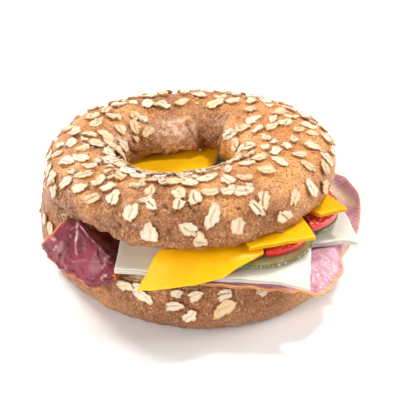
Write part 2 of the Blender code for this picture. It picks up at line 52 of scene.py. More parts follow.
# %% [markdown]
# ## Tools for shapes
# Every piece is a grid of points worked out by a formula, in millimetres about the bagel's own axis. A
# few small tools are enough: smooth steps and bell curves, a soft random relief, the faces and normals
# of a grid, and a mesh maker that also stores masks on the points, so that a material can know where a
# rind or a vein lies.

# %% Smooth steps and relief
def smoothstep(x):
    """0 below 0, 1 above 1, and 3x^2 - 2x^3 between."""
    x = np.clip(x, 0.0, 1.0)
    return x * x * (3.0 - 2.0 * x)


def hump(x, centre, wide):
    """A bell curve: e to the minus square of the distance from the centre over the width."""
    return np.exp(-(((x - centre) / wide) ** 2))


def smooth_through(places, values, at):
    """A smooth curve through a few named values, by cosine steps between them."""
    places, values = np.array(places, float), np.array(values, float)
    index = np.clip(np.searchsorted(places, at, side="right") - 1, 0, len(places) - 2)
    part = (at - places[index]) / (places[index + 1] - places[index])
    part = (1 - np.cos(math.pi * np.clip(part, 0.0, 1.0))) / 2
    return values[index] * (1 - part) + values[index + 1] * part


def full_turn(count):
    """Even angles round a circle: i times 2 pi over the count."""
    return np.arange(count) * 2 * math.pi / count


def short_way(turn, centre):
    """The angle from a centre to a turn, the short way round, between -pi and pi."""
    return np.angle(np.exp(1j * (turn - centre)))


def relief(points, size, seed, waves=28):
    """A soft random height with spread near 1: a sum of cosine waves of random direction and phase.

    Each wave has a length near the size given, so the bumps are about that large on any surface.
    """
    draw = np.random.default_rng(seed)
    ways = draw.normal(size=(waves, 3))
    ways *= (2 * math.pi / (size * draw.uniform(0.7, 1.5, waves)) / np.linalg.norm(ways, axis=1))[:, None]
    phases = draw.uniform(0.0, 2 * math.pi, waves)
    total = np.zeros(points.shape[:-1])
    for way, phase in zip(ways, phases):
        total += np.cos(points @ way + phase)
    return total / math.sqrt(waves / 2)


def bumps(points, *layers):
    """The sum of several reliefs, each given by its height, its size and its seed."""
    return sum(high * relief(points, size, seed) for high, size, seed in layers)


# %% Grids, normals and meshes
def grid_faces(rows, columns, wrap_rows=True, wrap_columns=True):
    """Quads of a grid of points, which may close on itself along either way."""
    i, j = np.meshgrid(
        np.arange(rows if wrap_rows else rows - 1),
        np.arange(columns if wrap_columns else columns - 1),
        indexing="ij",
    )
    after_i, after_j = (i + 1) % rows, (j + 1) % columns
    corners = [i * columns + j, after_i * columns + j, after_i * columns + after_j, i * columns + after_j]
    return np.stack(corners, axis=-1).reshape(-1, 4)


def capped_faces(rows, columns):
    """Quads of rings that close on themselves, with a fan of triangles to a pole at either end.

    The two poles come after the points of the rings.
    """
    here = np.arange(columns)
    after = (here + 1) % columns
    last = (rows - 1) * columns
    pole = np.full(columns, rows * columns)
    first_fan = np.stack([here, after, pole, pole], axis=-1)
    last_fan = np.stack([last + after, last + here, pole + 1, pole + 1], axis=-1)
    return np.concatenate([grid_faces(rows, columns, False, True), first_fan, last_fan])


def grid_normals(grid, closed):
    """Unit normals of a grid, closed both ways or open: the cross product of the steps along its ways."""
    if closed:
        steps = [np.roll(grid, -1, axis=way) - np.roll(grid, 1, axis=way) for way in (0, 1)]
    else:
        steps = [np.gradient(grid, axis=way) for way in (0, 1)]
    normal = np.cross(*steps)
    return normal / np.maximum(np.linalg.norm(normal, axis=-1, keepdims=True), 1e-12)


def signed_volume(points, quads):
    """Volume inside quads that face outwards, by the sum of the pyramids below each of them."""
    a, b, c, d = (points[quads[:, k]] for k in range(4))
    return float((np.cross(a, b) * c).sum() + (np.cross(a, c) * d).sum()) / 6


def outward_normals(grid):
    """Normals of a grid closed both ways, turned to point out of what it holds."""
    inwards = signed_volume(grid.reshape(-1, 3), grid_faces(*grid.shape[:2])) < 0
    return grid_normals(grid, True) * (-1.0 if inwards else 1.0)


def skin_mesh(name, points, faces, finish, replaced=None, masks=None):
    """A closed object at the origin from points in millimetres and quads, with masks kept on its points.

    The quads are turned round together if they face inwards. A triangle is a quad whose last two
    corners are the same point, and it is stored with three corners.
    """
    points = np.asarray(points, float).reshape(-1, 3)
    if signed_volume(points, faces) < 0:
        faces = faces[:, [1, 0, 3, 2]]
    placed = (points + (AXIS_X, AXIS_Y, 0.0)) * MM
    three = (faces[:, 2] == faces[:, 3]) | (faces[:, 0] == faces[:, 1])
    kept = np.ones(faces.shape, bool)
    kept[three, 3] = faces[three, 2] != faces[three, 3]
    kept[three, 0] = faces[three, 0] != faces[three, 1]
    sizes = kept.sum(axis=1)
    mesh = bpy.data.meshes.new(name)
    mesh.vertices.add(len(placed))
    mesh.vertices.foreach_set("co", placed.astype(np.float32).ravel())
    mesh.loops.add(int(sizes.sum()))
    mesh.loops.foreach_set("vertex_index", faces[kept].astype(np.int32))
    mesh.polygons.add(len(faces))
    starts = np.concatenate([[0], np.cumsum(sizes)[:-1]])
    mesh.polygons.foreach_set("loop_start", starts.astype(np.int32))
    mesh.update(calc_edges=True)
    mesh.polygons.foreach_set("use_smooth", np.ones(len(faces), bool))
    for key, values in (masks or {}).items():
        values = np.asarray(values, np.float32)
        if values.shape[-1:] == (3,) and values.size == placed.size:
            mesh.attributes.new(key, "FLOAT_VECTOR", "POINT").data.foreach_set("vector", values.ravel())
        else:
            mesh.attributes.new(key, "FLOAT", "POINT").data.foreach_set("value", values.ravel())
    mesh.materials.append(finish.made)
    piece = bpy.data.objects.new(name, mesh)
    bpy.context.scene.collection.objects.link(piece)
    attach(piece, "root")
    if replaced:
        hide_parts(replaced)
    print(name, len(placed), "points,", int((sizes - 2).sum()), "triangles")
    return piece


# %% [markdown]
# ## The camera, first
# The photograph was taken from a little over half a metre, 31 degrees above the table, straight at the
# bagel. The camera comes first because a feature that only the photograph shows, such as a vein in the
# ham, is easiest to place by where it is seen. The mask it makes is then stored on the surface itself.

# %% Camera and pixel tool
PHOTO_ELEVATION = math.radians(31)
CAMERA_DISTANCE = 550.0
TARGET = np.array([0.0, 0.0, 27.0])
PIXELS_PER_MM = 2.56
FOCAL_PIXELS = PIXELS_PER_MM * CAMERA_DISTANCE
PHOTO_SIZE = 400
AWAY = np.array([0.0, math.cos(PHOTO_ELEVATION), -math.sin(PHOTO_ELEVATION)])
UPWARD = np.array([0.0, math.sin(PHOTO_ELEVATION), math.cos(PHOTO_ELEVATION)])
CAMERA_PLACE = TARGET - CAMERA_DISTANCE * AWAY

camera_data = bpy.data.cameras.new("camera")
camera_data.lens = FOCAL_PIXELS / PHOTO_SIZE * camera_data.sensor_width
camera_data.clip_start = 0.01
camera = bpy.data.objects.new("camera", camera_data)
camera.location = (CAMERA_PLACE + (AXIS_X, AXIS_Y, 0.0)) * MM
camera.rotation_euler = (math.pi / 2 - PHOTO_ELEVATION, 0.0, 0.0)
bpy.context.scene.collection.objects.link(camera)
bpy.context.scene.camera = camera


def seen(points):
    """Where points fall in the photograph, in pixels: their offset from the camera over their depth."""
    offset = np.asarray(points, float) - CAMERA_PLACE
    depth = offset @ AWAY
    across = np.stack([offset[..., 0], -(offset @ UPWARD)], axis=-1)
    return across / depth[..., None] * FOCAL_PIXELS + PHOTO_SIZE / 2


def stroke(points, path, wide):
    """A mask along a drawn line: a bell curve of the pixel distance to the nearest part of a path."""
    pixels = seen(points)
    nearest = np.full(pixels.shape[:-1], 1e9)
    for first, last in zip(path[:-1], path[1:]):
        first, last = np.array(first, float), np.array(last, float)
        way = last - first
        part = np.clip(((pixels - first) @ way) / max(way @ way, 1e-9), 0.0, 1.0)
        nearest = np.minimum(nearest, np.linalg.norm(pixels - first - part[..., None] * way, axis=-1))
    return hump(nearest, 0.0, wide)


print("lens", round(camera_data.lens, 1), "mm")

# %% [markdown]
# ## Tools for finishes
# A finish is a surface shader with its colour, roughness and bump worked out by small patterns. Two
# patterns serve nearly every food here, so they are node groups: one mixes patches of two tones, the
# other gives the height of fine grain with pits in it, and a mask of the pits that the crust darkens as
# painted shade.

# %% Node helpers
CRINKLE_GAIN = 20.0


class Nodes:
    """A node tree, with the few kinds of node that every pattern here is built from."""

    def __init__(self, tree):
        self.tree = tree

    def join(self, source, target):
        """A link between an output and an input, or a plain value on the input."""
        if isinstance(source, (int, float)):
            target.default_value = source
        elif isinstance(source, tuple):
            target.default_value = (*source, 1.0) if len(target.default_value) == 4 else source
        else:
            self.tree.links.new(source, target)

    def add(self, kind, inputs=None, **settings):
        """A node of the given kind with its settings, and its inputs joined by name or number."""
        made = self.tree.nodes.new(kind)
        for key, value in settings.items():
            setattr(made, key, value)
        for key, source in (inputs or {}).items():
            self.join(source, made.inputs[key])
        return made

    def maths(self, operation, first, second, clamp=False):
        """One step of arithmetic on two values."""
        made = self.add("ShaderNodeMath", {0: first, 1: second}, operation=operation, use_clamp=clamp)
        return made.outputs[0]

    def times(self, first, second):
        """The product of two values."""
        return self.maths("MULTIPLY", first, second)

    def plus(self, first, second, clamp=True):
        """The sum of two values, kept between 0 and 1 if it is clamped."""
        return self.maths("ADD", first, second, clamp)

    def ramp(self, value, low, high):
        """Turns a value into 0 below low and 1 above high, smoothly between."""
        inputs = {"Value": value, "From Min": low, "From Max": high}
        made = self.add("ShaderNodeMapRange", interpolation_type="SMOOTHSTEP", inputs=inputs)
        return made.outputs["Result"]

    def mix(self, share, first, second):
        """One colour over another by a share."""
        inputs = {"Factor": share, "A": first, "B": second}
        return self.add("ShaderNodeMix", inputs, data_type="RGBA").outputs["Result"]

    def layers(self, colour, *coats):
        """Further colours over a first one, in turn, each by its own share."""
        for share, tint in coats:
            colour = self.mix(share, colour, tint)
        return colour

    def mask(self, key, output="Fac"):
        """A mask that the mesh carries, or its vector."""
        return self.add("ShaderNodeAttribute", attribute_name=key).outputs[output]

    def noise(self, place, scale, detail=3.0, roughness=0.55):
        """Soft noise at a place, from 0 to 1."""
        inputs = {"Vector": place, "Scale": scale, "Detail": detail, "Roughness": roughness}
        return self.add("ShaderNodeTexNoise", inputs).outputs["Fac"]

    def crinkle(self, noise, fold):
        """Creases where a noise is folded back and forth at an even step, as a height."""
        return self.times(self.maths("PINGPONG", noise, fold), CRINKLE_GAIN)


# %% Shared groups: patches and grain
def new_group(name, numbers, results):
    """An empty node group: a place and some numbers go in, and the results come out."""
    group = bpy.data.node_groups.new(name, "ShaderNodeTree")
    group.interface.new_socket("Place", in_out="INPUT", socket_type="NodeSocketVector")
    for way, keys in (("INPUT", numbers), ("OUTPUT", results)):
        for key in keys:
            group.interface.new_socket(key, in_out=way, socket_type="NodeSocketFloat")
    entry, end = group.nodes.new("NodeGroupInput"), group.nodes.new("NodeGroupOutput")
    return Nodes(group), entry.outputs, end.inputs


patches, given, results = new_group("patches", ("Scale", "Sharpness"), ("Large", "Small"))
steepness = patches.times(given["Sharpness"], 8.0)
finer = patches.times(given["Scale"], 7.0)
for key, scale, detail, roughness in (("Large", given["Scale"], 4.0, 0.5), ("Small", finer, 5.0, 0.65)):
    centred = patches.maths("SUBTRACT", patches.noise(given["Place"], scale, detail, roughness), 0.5)
    patches.join(patches.plus(patches.times(centred, steepness), 0.5), results[key])

grain, given, results = new_group("grain", ("Scale", "Pits"), ("Height", "Pit"))
fine_noise = grain.noise(given["Place"], given["Scale"], 4.0, 0.5)
pore_scale = grain.times(given["Scale"], 0.45)
pores = grain.add("ShaderNodeTexVoronoi", {"Vector": given["Place"], "Scale": pore_scale})
dip = grain.maths("SUBTRACT", 1.0, grain.ramp(pores.outputs["Distance"], 0.05, 0.32))
dip = grain.times(dip, given["Pits"])
grain.join(grain.maths("SUBTRACT", fine_noise, dip), results["Height"])
grain.join(dip, results["Pit"])
print("groups:", patches.tree.name, grain.tree.name)


# %% A finish to start from
class Finish(Nodes):
    """A material, with the inputs of its surface shader and the object's own place at hand."""

    def __init__(self, name, roughness):
        self.made = bpy.data.materials.new(name)
        self.made.use_nodes = True
        super().__init__(self.made.node_tree)
        self.shader = self.tree.nodes["Principled BSDF"].inputs
        self.shader["Roughness"].default_value = roughness
        self.place = self.add("ShaderNodeTexCoord").outputs["Object"]

    def patches(self, scale, sharpness):
        """The patches group at a scale: its large and its small pattern."""
        inputs = {"Place": self.place, "Scale": scale, "Sharpness": sharpness}
        return self.add("ShaderNodeGroup", node_tree=patches.tree, inputs=inputs).outputs

    def grain(self, scale, pits):
        """The grain group at a scale: its height and its pits."""
        inputs = {"Place": self.place, "Scale": scale, "Pits": pits}
        return self.add("ShaderNodeGroup", node_tree=grain.tree, inputs=inputs).outputs

    def set(self, colour, roughness, height, deep):
        """Joins colour, roughness and a bump whose full height is so many millimetres deep."""
        self.join(colour, self.shader["Base Color"])
        if roughness is not None:
            self.join(roughness, self.shader["Roughness"])
        bump = self.add("ShaderNodeBump", {"Strength": 1.0, "Distance": deep * MM, "Height": height})
        self.join(bump.outputs["Normal"], self.shader["Normal"])

    def translucent(self, weight, radius_mm, tint):
        """Light that enters the food and comes out a little further on, in millimetres for each colour."""
        self.shader["Subsurface Weight"].default_value = weight
        self.shader["Subsurface Scale"].default_value = radius_mm * MM
        self.shader["Subsurface Radius"].default_value = tint

    def glaze(self, weight, roughness):
        """A thin wet or oiled coat."""
        self.shader["Coat Weight"].default_value = weight
        self.shader["Coat Roughness"].default_value = roughness


# %% [markdown]
# ## The two halves of the ring
# A bagel is a rope of dough joined into a ring, boiled and baked, so it is round but never quite even:
# the crown rises and falls, and where the rope's ends meet at the back of the hole they leave a fold.
# The formulas are those of the solids. A point is given by its turn round the ring and its angle over
# the rope: 0 degrees is the outer side, 90 the crown and 180 the wall of the hole.

# %% Sizes of the ring
TOP_CENTRE = (-3.7, 0.4, 38.2)
TOP_RADIUS, TOP_HOLE_WIDE, TOP_HOLE_DEEP, HOLE_SHIFT = 56.0, 21.4, 18.8, -4.0
TOP_HEIGHT, TOP_WIDEST, TOP_TUCK = 15.8, 5.0, 1.6
TOP_ROLL, TOP_PITCH = math.radians(1.2), math.radians(2.6)
SAG_TURNS = (0, 25, 115, 170, 198, 229, 252, 272, 345, 360)
SAGS = (1.2, 0.0, 0.0, 2.2, 1.8, -3.6, 0.8, 1.9, 1.7, 1.2)
SAG_INSIDE, SAG_OUTSIDE = 30.0, 52.0
BOTTOM_CENTRE = (0.3, -0.2)
BOTTOM_RADIUS, BOTTOM_HOLE_WIDE, BOTTOM_HOLE_DEEP = 55.6, 19.0, 17.5
BOTTOM_HEIGHT, BOTTOM_WIDEST, BOTTOM_TUCK, BOTTOM_BASE_INSET = 22.4, 12.5, 1.4, 10.5
BOTTOM_LEFT_BULGE, BULGE_TURN, BULGE_SPREAD = 6.2, math.radians(177), math.radians(21)
MEET_FIRST, MEET_LAST, MEET_FADE = math.radians(74), math.radians(192), math.radians(24)
MEET_GAP, MEET_INSIDE, MEET_OUTSIDE = 0.6, 40.0, 53.0
POCKET_LEFT, POCKET_RIGHT, POCKET_LEAN = math.radians(80), math.radians(50), math.radians(15)
POCKET_DEPTH = 4.4


def ring_wobble(turn):
    """How far a hand-shaped ring departs from round, as a few slow waves."""
    return 1.4 * np.sin(2 * turn - 0.2) + 0.4 * np.sin(3 * turn + 1.9) + 0.3 * np.sin(5 * turn)


def hole_edge(turn, wide, deep):
    """Where an oval hole's edge lies along each turn, when its centre is off the ring's along x."""
    a = (np.cos(turn) / wide) ** 2 + (np.sin(turn) / deep) ** 2
    b = -2 * HOLE_SHIFT * np.cos(turn) / wide**2
    c = (HOLE_SHIFT / wide) ** 2 - 1
    return (-b + np.sqrt(b * b - 4 * a * c)) / (2 * a)


def pocket(turn, angle):
    """Depth of the fold in the hole's wall: sharp at its two creases, fading out over the crown."""
    lean = POCKET_LEAN * smoothstep((math.pi - angle) / math.radians(80))
    inside = smoothstep((turn - POCKET_RIGHT - lean * 0.3) / 0.07)
    inside = inside * smoothstep((POCKET_LEFT + lean - turn) / 0.07)
    return POCKET_DEPTH * inside * smoothstep((angle - math.radians(80)) / math.radians(45))


def power(x, exponent):
    """A power that keeps the sign."""
    return np.sign(x) * np.abs(x) ** exponent


def top_sag(x, y):
    """How far the top half's lower side hangs below its plane: it arches over the ham on the left."""
    turn = np.mod(np.degrees(np.arctan2(y, x)), 360.0)
    outwards = smoothstep((np.hypot(x, y) - SAG_INSIDE) / (SAG_OUTSIDE - SAG_INSIDE))
    return smooth_through(SAG_TURNS, SAGS, turn) * outwards


def tilt_top(x, y, up):
    """From the top half's own level frame to the bagel's: sag, roll, pitch, then place."""
    up = up - top_sag(x, y) * (1.0 - smoothstep(up / TOP_HEIGHT))
    rolled_x = x * math.cos(TOP_ROLL) - up * math.sin(TOP_ROLL)
    rolled_z = x * math.sin(TOP_ROLL) + up * math.cos(TOP_ROLL)
    pitched_y = y * math.cos(TOP_PITCH) + rolled_z * math.sin(TOP_PITCH)
    pitched_z = -y * math.sin(TOP_PITCH) + rolled_z * math.cos(TOP_PITCH)
    return np.stack(np.broadcast_arrays(rolled_x, pitched_y, pitched_z), axis=-1) + TOP_CENTRE


def top_point(turn, angle):
    """The top half's crust: an oval section round the ring, tucked in below its widest line."""
    outer = TOP_RADIUS + ring_wobble(turn)
    inner = hole_edge(turn, TOP_HOLE_WIDE, TOP_HOLE_DEEP)
    half = (outer - inner) / 2
    height = TOP_HEIGHT + 0.8 * np.sin(2 * turn + 2.4) + 0.5 * np.sin(3 * turn - 0.6)
    up = TOP_WIDEST + (height - TOP_WIDEST) * power(np.maximum(np.sin(angle), 0.0), 0.96)
    low = np.clip(-np.sin(angle), 0.0, 1.0)
    side = np.where(np.cos(angle) >= 0.0, 1.0, -1.0)
    past = low > 0.0
    across = np.where(past, side * (1.0 - TOP_TUCK * low**2 / half), power(np.cos(angle), 0.94))
    up = np.where(past, TOP_WIDEST * (1.0 - low), up)
    reach = (outer + inner) / 2 + half * across + pocket(turn, angle)
    return tilt_top(reach * np.cos(turn), reach * np.sin(turn), up)


def underside(x, y):
    """Height of the top half's cut over a plan position."""
    x, y = x - TOP_CENTRE[0], y - TOP_CENTRE[1]
    return TOP_CENTRE[2] + x * math.tan(TOP_ROLL) - y * math.tan(TOP_PITCH) - top_sag(x, y)


def cut_height(x, y):
    """Height of the bottom half's cut, whose rim climbs to meet the top half at the left and back."""
    turn = np.mod(np.arctan2(y, x), 2 * math.pi)
    meets = smoothstep((turn - MEET_FIRST) / MEET_FADE)
    meets = meets * smoothstep((MEET_LAST + MEET_FADE - turn) / MEET_FADE)
    meets = meets * smoothstep((np.hypot(x, y) - MEET_INSIDE) / (MEET_OUTSIDE - MEET_INSIDE))
    return BOTTOM_HEIGHT + meets * (underside(x, y) - MEET_GAP - BOTTOM_HEIGHT)


def bottom_point(turn, angle):
    """The bottom half's crust: a side that bulges to its widest line and curves in to a flat base."""
    outer = BOTTOM_RADIUS + 0.5 * ring_wobble(turn + 0.9)
    outer = outer + BOTTOM_LEFT_BULGE * hump(short_way(turn, BULGE_TURN), 0.0, BULGE_SPREAD)
    inner = hole_edge(turn, BOTTOM_HOLE_WIDE, BOTTOM_HOLE_DEEP)
    side = np.where(np.cos(angle) >= 0.0, 1.0, -1.0)
    low = np.clip(-np.sin(angle), 0.0, 1.0)
    high = np.clip(np.sin(angle), 0.0, 1.0)
    curve_in = BOTTOM_BASE_INSET * (1.0 - np.sqrt(1.0 - low**2))
    across = (outer - inner) / 2 - curve_in - BOTTOM_TUCK * high**2
    reach = (outer + inner) / 2 + side * across
    x = reach * np.cos(turn) + BOTTOM_CENTRE[0]
    y = reach * np.sin(turn) + BOTTOM_CENTRE[1]
    up = BOTTOM_WIDEST * (1.0 - low) + (cut_height(x, y) - BOTTOM_WIDEST) * high
    return np.stack([x, y, up], axis=-1)


print("top crown at", round(float(top_point(np.array(0.0), np.array(math.pi / 2))[2]), 1), "mm")

# %% [markdown]
# ## Crust and crumb
# A crust browns most where it is thin and high, stays pale where the dough tore in the oven, and cracks
# in small dark pits. The cut shows pale crumb with holes. One material does both: a mask tells it where
# the knife went, and others where the crust is torn, where it is darker or lighter from baking and from
# painted shade and sheen, and where its pits and creases hold painted shade.

# %% The crust's finish
crust = Finish("baked_crust", 0.5)
large, small = crust.patches(60.0, 0.55)
speck = crust.noise(crust.place, 1100.0, 3.0, 0.7)
skin_height, skin_pit = crust.grain(1400.0, 0.30)
crumb_height, crumb_pit = crust.grain(700.0, 1.0)
golden = crust.mix(large, (0.64, 0.24, 0.06), (0.84, 0.39, 0.125))
brown = crust.mix(large, (0.19, 0.048, 0.011), (0.32, 0.100, 0.028))
torn_colour = crust.mix(small, (0.50, 0.22, 0.10), (0.95, 0.68, 0.50))
crumb_colour = crust.mix(small, (0.62, 0.40, 0.20), (0.86, 0.66, 0.42))
# Darker in the crumb's holes: painted shade.
crumb_colour = crust.mix(crust.times(crumb_pit, 0.55), crumb_colour, (0.36, 0.19, 0.08))
crust_colour = crust.layers(
    # Golden to brown: partly browning, partly painted shade and sheen.
    crust.mix(crust.plus(crust.mask("bake"), crust.times(small, 0.10)), golden, brown),
    # Darker over the bottom half towards its base: partly a darker underside, partly painted shade.
    (crust.times(crust.mask("deep"), 0.7), (0.18, 0.045, 0.015)),
    (crust.times(small, 0.28), (0.78, 0.43, 0.19)),
    (crust.times(crust.ramp(speck, 0.50, 0.33), 0.80), (0.14, 0.038, 0.012)),
    # Pale specks: partly grain, partly painted glints.
    (crust.times(crust.ramp(speck, 0.55, 0.68), 0.48), (0.95, 0.66, 0.36)),
    (crust.times(crust.mask("torn"), 0.85), torn_colour),
    # Nearly black in pits, cracks and the fold's creases: painted shade.
    (crust.mask("pit"), (0.07, 0.022, 0.012)),
    # Darker in the fine pores: painted shade.
    (crust.times(skin_pit, 0.7), (0.15, 0.055, 0.025)),
    (crust.mask("cut"), crumb_colour),
)
skin_height = crust.plus(skin_height, crust.times(speck, 0.8), clamp=False)
crust_height = crust.mix(crust.mask("cut"), skin_height, crumb_height)
crust_rough = crust.plus(crust.times(small, 0.20), crust.plus(0.36, crust.times(crust.mask("cut"), 0.4)))
crust.set(crust_colour, crust_rough, crust_height, deep=0.80)
crust.shader["Specular IOR Level"].default_value = 0.25
crust.glaze(0.20, 0.34)
print("crust finish ready")


# %% The top half's surface
def around(turn, centre, wide):
    """A bell curve round the ring, with degrees in and the short way round."""
    return hump(np.degrees(short_way(turn, math.radians(centre))), 0.0, wide)


def across_cut(first, last, steps):
    """Points over the cut face, from one edge to the other, without the edges."""
    part = (np.arange(1, steps + 1) / (steps + 1))[None, :, None]
    return first * (1 - part) + last * part


def soften(grid, where, times):
    """Averages each point with its two neighbours round the section, where a mask allows it."""
    for _ in range(times):
        near = (np.roll(grid, 1, axis=1) + np.roll(grid, -1, axis=1)) / 2
        grid = grid + 0.5 * where * (near - grid)
    return grid


def crust_mesh(half, grid, **masks):
    """One half of the bread from its closed grid, with the crust's masks kept between 0 and 1."""
    masks = {key: np.clip(values, 0, 1) for key, values in masks.items()}
    return skin_mesh(half + "_crust", grid, grid_faces(*grid.shape[:2]), crust, half, masks)


TOP_TURNS, TOP_SKIN, TOP_CUT = 400, 156, 36
PIT_DEPTH, CRUMB_DEPTH, TORN_ROUGH = 0.9, 0.25, 0.28
turns = full_turn(TOP_TURNS)[:, None]
angles = np.linspace(-0.5 * math.pi, 1.5 * math.pi, TOP_SKIN)[None, :]
skin = top_point(turns, angles)
grid = np.concatenate([skin, across_cut(skin[:, -1:], skin[:, :1], TOP_CUT)], axis=1)
is_cut = np.zeros(grid.shape[:2])
is_cut[:, TOP_SKIN - 1 :] = 1.0
is_cut[:, 0] = 1.0
low_rim = hump(angles[0], -0.5 * math.pi, 0.45) + hump(angles[0], 1.5 * math.pi, 0.45)
low_rim = np.ones(TOP_TURNS)[:, None] * np.concatenate([low_rim, np.zeros(TOP_CUT)])
grid = soften(grid, np.clip(low_rim * 1.4, 0, 1)[..., None], 3)
normals = outward_normals(grid)

# Cracks and pits on the front, drawn by where they are seen; their dark colour is painted shade.
PITS = (
    [(188, 205), (190.5, 207), (193, 211), (195, 212)],
    [(190, 224), (191, 226)],
    [(198, 202), (199, 203.5)],
    [(216, 197), (217, 199)],
    [(238, 208), (239, 209)],
    [(163, 204), (168, 208)],
    [(155, 211), (156, 215)],
    [(170, 229), (170.5, 235)],
    [(118, 223), (120, 226)],
)
pit = sum(stroke(grid, path, 1.1) for path in PITS) * (grid[..., 1] < 0)
ragged_seams = stroke(grid, [(48, 199), (56, 207), (66, 215)], 2.2)
ragged_seams = ragged_seams + stroke(grid, [(71, 208), (76, 217)], 2.8)
ragged_seams = ragged_seams * smoothstep(0.5 + 0.9 * relief(grid, 1.6, 41)) * (grid[..., 1] < 0)
# Creases of the fold at the back of the hole: dark lines of painted shade, also sunk a little.
creases = stroke(grid, [(186, 124), (193, 135), (199, 150)], 1.2)
creases = creases + stroke(grid, [(222, 131), (219.5, 151)], 1.4)
creases = creases + 1.2 * stroke(grid, [(129, 144), (132, 149), (136, 154)], 1.5)
creases = creases * (grid[..., 1] > 0) * (grid[..., 2] > 38)
# Pits, ragged seams and creases make one mask: nearly black as painted shade, and sunk into the crust.
pit = np.clip(pit + ragged_seams + 0.55 * creases, 0, 1) * (1 - is_cut)
lift = bumps(grid, (0.20, 15.0, 3), (0.14, 5.5, 4), (0.060, 2.6, 5))
lift = lift * (1 - 0.4 * is_cut) + is_cut * (CRUMB_DEPTH * relief(grid, 3.0, 6) - CRUMB_DEPTH)
lift = lift + low_rim * 0.30 * relief(grid, 4.0, 7) - PIT_DEPTH * pit
turn_of = np.broadcast_to(turns, grid.shape[:2])
angle_of = np.concatenate([angles, np.full((1, TOP_CUT), -1.6)], axis=1)
angle_of = np.broadcast_to(angle_of, grid.shape[:2])
torn = around(turn_of, 105, 24) * smoothstep((np.degrees(angle_of) - 124) / 22)
torn = torn * smoothstep((turn_of - POCKET_LEFT) / 0.1)
torn = torn + 0.8 * around(turn_of, 168, 16) * hump(np.degrees(angle_of), 150, 22)
lift = lift + torn * TORN_ROUGH * relief(grid, 2.6, 8)
grid = grid + lift[..., None] * normals
high = grid[..., 2]
# Golden high up, brown low down and in a band along the lower rim: partly the crust's own browning, partly
# painted shade where the crust turns away from the light.
bake = 0.90 - 0.76 * smoothstep((high - 44.0) / 13.0)
bake = bake + 0.18 * relief(grid, 22.0, 9) + 0.08 * relief(grid, 7.0, 10)
bake = bake + 0.35 * hump(high, 38.0, 2.5)
# Lighter round the right side: partly paler crust, partly painted sheen.
bake = bake - 0.50 * around(turn_of, 15, 62)
# Browner low on the front: painted shade.
bake = bake + 0.32 * around(turn_of, 250, 60) * smoothstep((56.0 - high) / 6.0)
# Browner inside the fold of the hole's wall: painted shade in the recess.
in_fold = 0.8 * pocket(turn_of, np.maximum(angle_of, 0.0)) / POCKET_DEPTH
bake = bake + in_fold * smoothstep((56 - high) / 14)
crust_mesh("bagel_top", grid, cut=is_cut, bake=bake, torn=torn, pit=pit, deep=np.zeros(grid.shape[:2]))

# %% The bottom half's surface
BOTTOM_TURNS, BOTTOM_SIDE, BASE_STEPS, BOTTOM_CUT = 380, 44, 10, 44
turns = full_turn(BOTTOM_TURNS)[:, None]
outer_side = np.linspace(0.4999 * math.pi, -0.5 * math.pi, BOTTOM_SIDE)[None, :]
outer = bottom_point(turns, outer_side)
inner = bottom_point(turns, math.pi - outer_side[:, ::-1])
base = across_cut(outer[:, -1:], inner[:, :1], BASE_STEPS)
face = across_cut(inner[:, -1:], outer[:, :1], BOTTOM_CUT)
face[..., 2] = cut_height(face[..., 0], face[..., 1])
grid = np.concatenate([outer, base, inner, face], axis=1)
columns = grid.shape[1]
is_cut = np.zeros(grid.shape[:2])
is_cut[:, columns - BOTTOM_CUT - 1 :] = 1.0
is_cut[:, 0] = 1.0
grid = soften(grid, np.roll(is_cut, 2, axis=1)[..., None] * 0.7, 1)
lift = bumps(grid, (0.18, 14.0, 13), (0.13, 5.0, 14), (0.055, 2.6, 15))
lift = lift * smoothstep(grid[..., 2] / 3.0)
lift = lift * (1 - 0.5 * is_cut) + is_cut * (0.22 * relief(grid, 3.0, 16) - 0.30)
grid = grid + lift[..., None] * outward_normals(grid)
turn_of = np.broadcast_to(turns, grid.shape[:2])
# Brown all round, partly the crust's own colour, partly painted shade under the filling; lighter at the
# front right and low at the front left, where the light falls: painted light.
bake = 0.90 + 0.12 * relief(grid, 18.0, 17) - 0.80 * around(turn_of, 318, 20)
bake = bake - 0.50 * around(turn_of, 228, 18) * smoothstep((14 - grid[..., 2]) / 8)
# The deep mask darkens the whole bottom half, more towards its base: partly a darker baked underside, partly
# painted shade.
deep = 0.45 + 0.6 * smoothstep((7.0 - grid[..., 2]) / 6.0) + 0.18 * relief(grid, 9.0, 18)
zero = np.zeros(grid.shape[:2])
crust_mesh("bagel_bottom", grid, cut=is_cut, bake=bake, torn=zero, pit=zero, deep=deep)

# %% [markdown]
# ## Oat flakes
# A rolled oat is a grain squashed flat: an oval with a crease down its middle, ragged ends and edges that
# curl up as it bakes. Most lie on the crown, because the dough is pressed face down into them. They are
# laid by the same rule as in the solids, so each one sits where its solid is. Every flake follows the
# crust under it: its own flat coordinates are turned into a little more turn and a little more angle.

# %% Where the flakes lie
FLAKE_LENGTH, FLAKE_WIDTH, FLAKE_GAP, FLAKE_TRIES = 6.8, 4.4, 5.2, 6000


def frame_at(point, turn, angle):
    """At spots on the crust: how it goes on round the ring and over the rope, and its unit normal."""
    step = 0.01
    here = point(turn, angle)
    round_ring = (point(turn + step, angle) - here) / step
    over = (point(turn, angle + step) - here) / step
    normal = np.cross(round_ring, over)
    normal /= np.linalg.norm(normal, axis=-1, keepdims=True)
    return round_ring, over, normal


